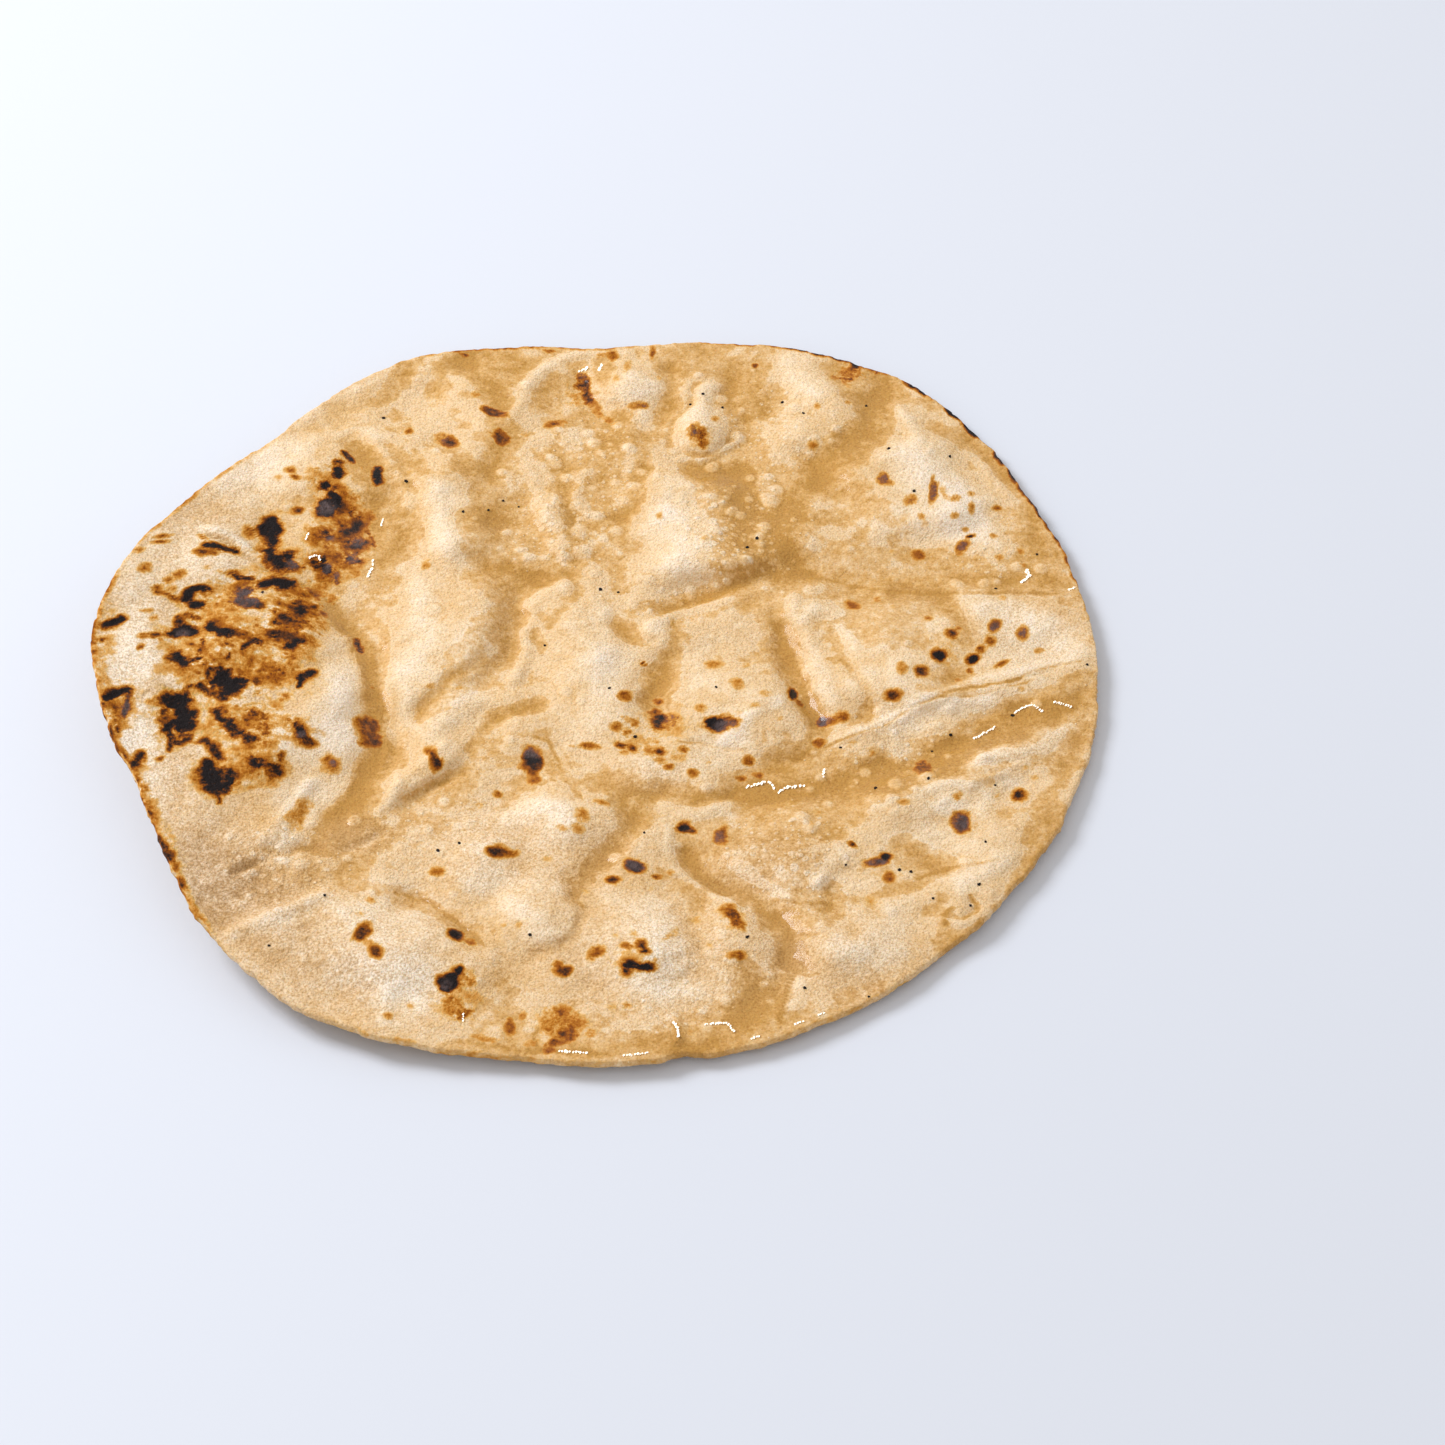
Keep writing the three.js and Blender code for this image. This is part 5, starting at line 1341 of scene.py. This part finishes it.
def bread_mesh():
    rim_count = TOP_RINGS * SECTORS_A_RING
    counts, direction, share = ring_places(TOP_RINGS)
    top = top_face(*plan(direction, share), direction)
    xyz = [np.column_stack([top["x"], top["y"], top["top"]])]
    fields = [top["fields"]]
    triangles, upper = disc_triangles(counts, 0)
    total = len(direction)

    # The rim: half a round from the top face to the underside.
    rim = slice(len(direction) - rim_count, None)
    angle = np.radians(direction[rim])
    x, y = top["x"][rim], top["y"][rim]
    high, bottom = top["top"][rim], top["under"][rim]
    for row in range(1, RIM_ROWS + 1):
        turn = math.pi * row / (RIM_ROWS + 1)
        out = RIM_BULGE * math.sin(turn)
        z = bottom + (high - bottom) * (1 + math.cos(turn)) / 2
        xyz.append(np.column_stack([x + out * np.cos(angle), y + out * np.sin(angle), z]))
        row_fields = {name: field[rim] for name, field in top["fields"].items()}
        beyond_u = top["u"][rim] + row * RIM_UNROLLED * np.cos(angle)
        beyond_v = top["v"][rim] + row * RIM_UNROLLED * np.sin(angle)
        row_fields["scorch"] = top_heat(beyond_u, beyond_v, np.zeros(rim_count), direction[rim])
        fields.append(row_fields)
        lower = list(range(total, total + rim_count))
        triangles += wall_triangles(lower, upper)
        upper = lower
        total += rim_count

    under_counts, under_direction, under_share = ring_places(UNDER_RINGS, rim_count)
    u, v, from_rim = plan(under_direction, under_share)
    low = main_sheet(u, v, from_rim)
    xyz.append(np.column_stack([low["x"], low["y"], low["under"]]))
    fields.append(under_fields(u, v))
    down, last = disc_triangles(under_counts, total)
    triangles += [(a, c, b) for a, b, c in down]
    triangles += wall_triangles(last, upper)

    facets, facet_fields, facet_triangles, shiny = islands(total + len(under_direction))
    xyz += facets
    fields.append(facet_fields)
    shine = np.concatenate([np.zeros(len(triangles), int), shiny])
    smooth_faces = np.arange(len(triangles) + len(facet_triangles)) < len(triangles)
    triangles += facet_triangles

    points = np.vstack(xyz)
    low_corner, high_corner = np.array(cad_box) / MM
    middle = (points.min(0) + points.max(0)) / 2 - (low_corner + high_corner) / 2
    points[:, :2] -= middle[:2]
    points = np.clip(points, low_corner, high_corner)
    joined = {name: np.concatenate([f[name] for f in fields]) for name in fields[0]}
    return points * MM, triangles, (smooth_faces, shine), joined, middle


def bread_object():
    """The bread, and how far its middle was moved to the CAD solid's middle."""
    points, triangles, (smooth_faces, shine), fields, middle = bread_mesh()
    mesh = bpy.data.meshes.new("bread")
    mesh.from_pydata(points.tolist(), [], triangles)
    mesh.materials.append(crust_material())
    mesh.materials.append(oil_material())
    mesh.polygons.foreach_set("use_smooth", smooth_faces)
    mesh.polygons.foreach_set("material_index", shine)
    for name, values in fields.items():
        attribute = mesh.attributes.new(name, "FLOAT", "POINT")
        attribute.data.foreach_set("value", np.ascontiguousarray(values, np.float32))
    mesh.update()
    piece = bpy.data.objects.new("bread", mesh)
    bpy.context.scene.collection.objects.link(piece)
    return piece, middle


# ---- Materials -------------------------------------------------------------------------------


class Value:
    """A number that a shader works out, written in sums like any other number."""

    def __init__(self, nodes, socket):
        self.nodes, self.socket = nodes, socket

    def __add__(self, other):
        return self.nodes.math("ADD", self, other)

    def __sub__(self, other):
        return self.nodes.math("SUBTRACT", self, other)

    def __rsub__(self, other):
        return self.nodes.math("SUBTRACT", other, self)

    def __mul__(self, other):
        return self.nodes.math("MULTIPLY", self, other)

    def __pow__(self, other):
        return self.nodes.math("POWER", self, other)

    def limited(self):
        """The same sum, kept from 0 to 1."""
        self.socket.node.use_clamp = True
        return self


class Nodes:
    """Short calls that add shader nodes to one new material."""

    def __init__(self, name):
        self.material = bpy.data.materials.new(name)
        self.material.use_nodes = True
        self.tree = self.material.node_tree
        self.tree.nodes.clear()

    def put(self, target, value):
        """Links one input to a value, or sets it."""
        if isinstance(value, Value):
            value = value.socket
        if isinstance(value, bpy.types.NodeSocket):
            self.tree.links.new(value, target)
        elif target.type == "RGBA":
            target.default_value = (*value, 1)
        else:
            target.default_value = value

    def add(self, kind, **inputs):
        node = self.tree.nodes.new("ShaderNode" + kind)
        for name, value in inputs.items():
            self.put(node.inputs[name.replace("_", " ")], value)
        return node

    def math(self, operation, a, b):
        node = self.add("Math")
        node.operation = operation
        for target, value in zip(node.inputs, (a, b)):
            self.put(target, value)
        return Value(self, node.outputs[0])

    def field(self, name):
        node = self.add("Attribute")
        node.attribute_name = name
        return Value(self, node.outputs["Fac"])

    def coordinates(self):
        """Where a point of the surface is, in metres."""
        return self.add("TexCoord").outputs["Object"]

    def noise(self, where, size, detail=2.0, roughness=0.5):
        """Noise centred on 0, with features of about size metres."""
        node = self.add("TexNoise", Vector=where, Scale=1 / size, Detail=detail, Roughness=roughness)
        return Value(self, node.outputs["Fac"]) - 0.5

    def dots(self, where, size, least, more):
        """1 in round dots with radii from least to least + more of the size, 0 between them."""
        sharpness = 9.0
        node = self.add("TexVoronoi", Vector=where, Scale=1 / size)
        node.voronoi_dimensions = "2D"
        chance = self.add("SeparateColor", Color=node.outputs["Color"]).outputs[0]
        radius = Value(self, chance) * more + least
        return ((radius - Value(self, node.outputs["Distance"])) * sharpness).limited()

    def step(self, value, start, end):
        """0 below start, 1 above end, smooth between."""
        node = self.add("MapRange", Value=value, From_Min=start, From_Max=end)
        node.interpolation_type = "SMOOTHSTEP"
        return Value(self, node.outputs["Result"])

    def ramp(self, value, *stops):
        """A colour for each value: between the stops, which are a value and its colour."""
        node = self.add("ValToRGB", Fac=value)
        elements = node.color_ramp.elements
        elements[0].position, elements[1].position = stops[0][0], stops[-1][0]
        for place, _ in stops[1:-1]:
            elements.new(place)
        for element, (_, colour) in zip(elements, stops):
            element.color = (*colour, 1)
        return node.outputs["Color"]

    def mix(self, share, a, b, blend="MIX"):
        node = self.add("Mix")
        node.data_type = "RGBA"
        node.blend_type = blend
        for socket, value in zip((0, 6, 7), (share, a, b)):
            self.put(node.inputs[socket], value)
        return node.outputs[2]

    def bump(self, height, strength, distance):
        node = self.add("Bump", Strength=strength, Distance=distance, Height=height)
        return node.outputs["Normal"]

    def surface(self, **inputs):
        """Ends the material with one principled shader."""
        shader = self.add("BsdfPrincipled", **inputs)
        self.add("OutputMaterial", Surface=shader.outputs["BSDF"])
        return self.material


def crust_colour(n, shade, flour, oil, pool, noises):
    """Plain crust of one shade, without scorch: dusted with flour, wet with oil, grainy."""
    patchy, mottle, grain = noises
    crust = n.ramp(
        shade,
        (0.0, (0.91, 0.755, 0.59)),
        (0.3, (0.85, 0.643, 0.415)),
        (0.55, (0.748, 0.483, 0.228)),
        (0.8, (0.63, 0.357, 0.12)),
        (1.0, (0.51, 0.264, 0.062)),
    )
    dusty = n.ramp(
        shade + mottle * 0.8,
        (0.1, (0.95, 0.83, 0.695)),
        (0.55, (0.76, 0.58, 0.41)),
        (0.9, (0.54, 0.36, 0.21)),
    )
    grains = n.ramp(
        grain * (flour * 2.6 + 1.8) + 0.5,
        (0.2, (0.82, 0.75, 0.64)),
        (0.45, (1, 1, 1)),
        (0.6, (1, 1, 1)),
        (0.75, (1.09, 1.11, 1.13)),
    )
    dusted = (flour * (patchy * 0.9 + 0.85)).limited()
    crust = n.mix(dusted * 0.8, crust, dusty)
    crust = n.mix(pool * 0.4, crust, (1.0, 0.94, 0.74), "MULTIPLY")
    return n.mix(1.0, crust, grains, "MULTIPLY")


def crust_material():
    n = Nodes("crust")
    where = n.coordinates()
    heat, haze, ash_and_sheen = n.field("scorch"), n.field("haze"), n.field("ash_and_sheen")
    wet, flour, tone = n.field("wet"), n.field("flour"), n.field("tone")
    blistered = n.field("blistered")

    broad = n.noise(where, 0.011, 3)
    patchy = n.noise(where, 0.0042, 3, 0.6)
    mottle = n.noise(where, 0.0016, 3, 0.6)
    granular = n.noise(where, 0.0009, 2, 0.6)
    grain = n.noise(where, 0.0005, 2, 0.6)

    # Small steam blisters, and specks of bran.
    blister = n.dots(where, 0.0026, blistered * 0.35 - 0.25, 0.35)
    fine_blister = n.dots(where, 0.0013, blistered * 0.3 - 0.2, 0.35)
    bubbly = blister + fine_blister * 0.7
    outline = n.field("bubble") + mottle * 1.2
    bubble = n.step(outline, 0.0, 0.9)
    # A faint darker ring round each blister's outline: partly oil gathered at its foot, partly painted
    # shade.
    oil_and_shade_ring = n.step(outline, -0.6, 0.0) - bubble
    bran = n.dots(where, 0.0036, -0.07, 0.16)

    # Oil: soaked patches with a sharp waterline, and a painted highlight along it.
    soaked = wet + broad * 0.2 + patchy * 0.18 + mottle * 0.1 - bubbly * 0.2
    oil = n.step(soaked, 0.44, 0.52)
    pool = n.step(soaked, 0.62, 0.8)
    # A thin paler line along the waterline: a painted highlight.
    painted_waterline_highlight = n.step(soaked, 0.4, 0.45) - n.step(soaked, 0.45, 0.5)

    # Plain crust: cream on what stands up, deeper in the hollows and where oil has soaked in.
    shade = tone + broad * 0.14 + patchy * 0.26 + mottle * 0.28 - bubbly * 0.2
    shade = shade + oil * (mottle * 0.55 + 0.13) + pool * 0.1
    above = n.math("MAXIMUM", shade - 0.3, 0.0)
    # Blisters pale on golden ground; the ring round them deepens, partly painted shade; the waterline
    # pales.
    shade = shade - bubble * 0.6 * above + oil_and_shade_ring * 0.05 - painted_waterline_highlight * 0.1
    shade = shade + granular * (oil * 0.25 + flour * 0.65 + 0.2)
    crust = crust_colour(n, shade, flour, oil, pool, (patchy, mottle, grain))
    crust = n.mix(bran * 0.75, crust, (0.3, 0.15, 0.05))

    # Scorch: gold, amber, brown and black, with a ragged grainy edge; in a haze it is mottled.
    peppered = n.dots(where, 0.0021, -0.1, 0.4)
    curdle = n.noise(where, 0.0038, 2) * 2.4 + mottle * 1.1 + granular * 0.9 + peppered * 0.3
    uneven = curdle * (1.0 - haze * 0.35)
    dense = haze ** 4.0 * 0.22 + 0.36
    clouded = (haze * (dense + uneven)).limited()
    ragged = (mottle * 0.5 + granular * 0.6) * (heat + 0.45 + haze)
    burnt = n.math("MAXIMUM", heat + ragged * n.step(heat, 0.0, 0.25), clouded)
    burnt = burnt + n.math("MINIMUM", heat, clouded) * 0.35
    colour = n.ramp(
        burnt,
        (0.06, (0.8, 0.53, 0.25)),
        (0.17, (0.71, 0.39, 0.12)),
        (0.29, (0.56, 0.235, 0.035)),
        (0.42, (0.4, 0.13, 0.008)),
        (0.54, (0.27, 0.072, 0.004)),
        (0.66, (0.14, 0.04, 0.007)),
        (0.8, (0.05, 0.018, 0.008)),
        (0.94, (0.014, 0.01, 0.01)),
    )
    browned = n.mix(n.step(burnt, 0.02, 0.17), crust, colour, "DARKEN")
    crust = n.mix(n.step(burnt, 0.4, 0.6), browned, colour)
    # A mottled violet bloom on char: partly grey ash, partly painted sheen of the glossy char.
    ash_and_sheen_bloom = (ash_and_sheen * n.step(burnt, 0.3, 0.55) * (mottle * 1.6 + 0.45)).limited()
    crust = n.mix(ash_and_sheen_bloom, crust, (0.17, 0.115, 0.11))

    # Bump: fine grain everywhere, a pitted crust on char; oil fills the grain.
    charred = n.step(burnt, 0.62, 0.82)
    rough_grain = (grain * 1.2 + mottle + granular + bubbly * 0.5) * (1.0 - oil * 0.45)
    pits = n.noise(where, 0.0007, 3, 0.7) * (charred * 2.2)

    return n.surface(
        Base_Color=crust,
        Roughness=0.66 - oil * 0.18 + grain * 0.3 - charred * 0.1,
        Normal=n.bump(rough_grain + pits, 0.7, 0.0004),
        IOR=1.42,
        Specular_IOR_Level=0.1,
        Coat_Weight=oil * 0.3 + pool * 0.45,
        Coat_Roughness=0.1,
        Coat_IOR=1.32,
        Coat_Normal=n.bump(n.noise(where, 0.0022, 2), 0.4, 0.0003),
        Subsurface_Weight=0.1,
        Subsurface_Radius=(1.0, 0.55, 0.25),
        Subsurface_Scale=0.0015,
    )


def oil_material():
    n = Nodes("oil")
    where = n.coordinates()
    colour = n.ramp(
        n.noise(where, 0.0008, 2) + 0.5,
        (0.35, (0.74, 0.5, 0.24)),
        (0.65, (0.9, 0.74, 0.5)),
    )
    return n.surface(
        Base_Color=colour,
        Roughness=0.3,
        Normal=n.bump(n.noise(where, 0.0006, 2), 0.15, 0.0002),
        IOR=1.47,
        Coat_Weight=0.5,
        Coat_Roughness=0.2,
        Coat_IOR=1.47,
    )


# ---- Studio ----------------------------------------------------------------------------------


def look_at(thing, place, target):
    thing.location = place
    thing.rotation_euler = (Vector(target) - Vector(place)).to_track_quat("-Z", "Y").to_euler()


def add_camera(middle):
    """The camera, moved as the bread was, so that it sees it from the photograph's side."""
    camera = bpy.data.objects.new("camera", bpy.data.cameras.new("camera"))
    camera.data.lens = LENS
    camera.data.sensor_width = SENSOR
    camera.data.clip_start = NEAREST_SEEN
    moved = np.array((middle[0], middle[1], 0))
    look_at(camera, (np.array(LEAN_POINT) - moved) * MM, (np.array(CAMERA_TARGET) - moved) * MM)
    bpy.context.scene.collection.objects.link(camera)
    bpy.context.scene.camera = camera


def add_key_light():
    lamp = bpy.data.lights.new("key", "AREA")
    lamp.shape = "SQUARE"
    lamp.size = KEY_SIZE
    lamp.energy = KEY_POWER
    lamp.color = KEY_COLOUR
    light = bpy.data.objects.new("key", lamp)
    look_at(light, KEY_PLACE, (0, 0, 0))
    bpy.context.scene.collection.objects.link(light)


def add_table():
    mesh = bpy.data.meshes.new("table")
    sides = ((-1, -1), (1, -1), (1, 1), (-1, 1))
    corners = [(TABLE_REACH * a, TABLE_REACH * b, -TABLE_DROP) for a, b in sides]
    mesh.from_pydata(corners, [], [(0, 1, 2, 3)])
    mesh.materials.append(Nodes("table").surface(Base_Color=TABLE_COLOUR, Roughness=0.5))
    floor = bpy.data.objects.new("table", mesh)
    bpy.context.scene.collection.objects.link(floor)


def add_sky():
    world = bpy.data.worlds.new("studio")
    world.use_nodes = True
    background = world.node_tree.nodes["Background"]
    background.inputs["Color"].default_value = (*SKY_COLOUR, 1)
    background.inputs["Strength"].default_value = SKY_STRENGTH
    bpy.context.scene.world = world


bread, shift = bread_object()
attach(bread, "root")
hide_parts(NODE)
add_camera(shift)
add_table()
add_sky()
add_key_light()
bpy.context.scene.view_settings.view_transform = "Standard"
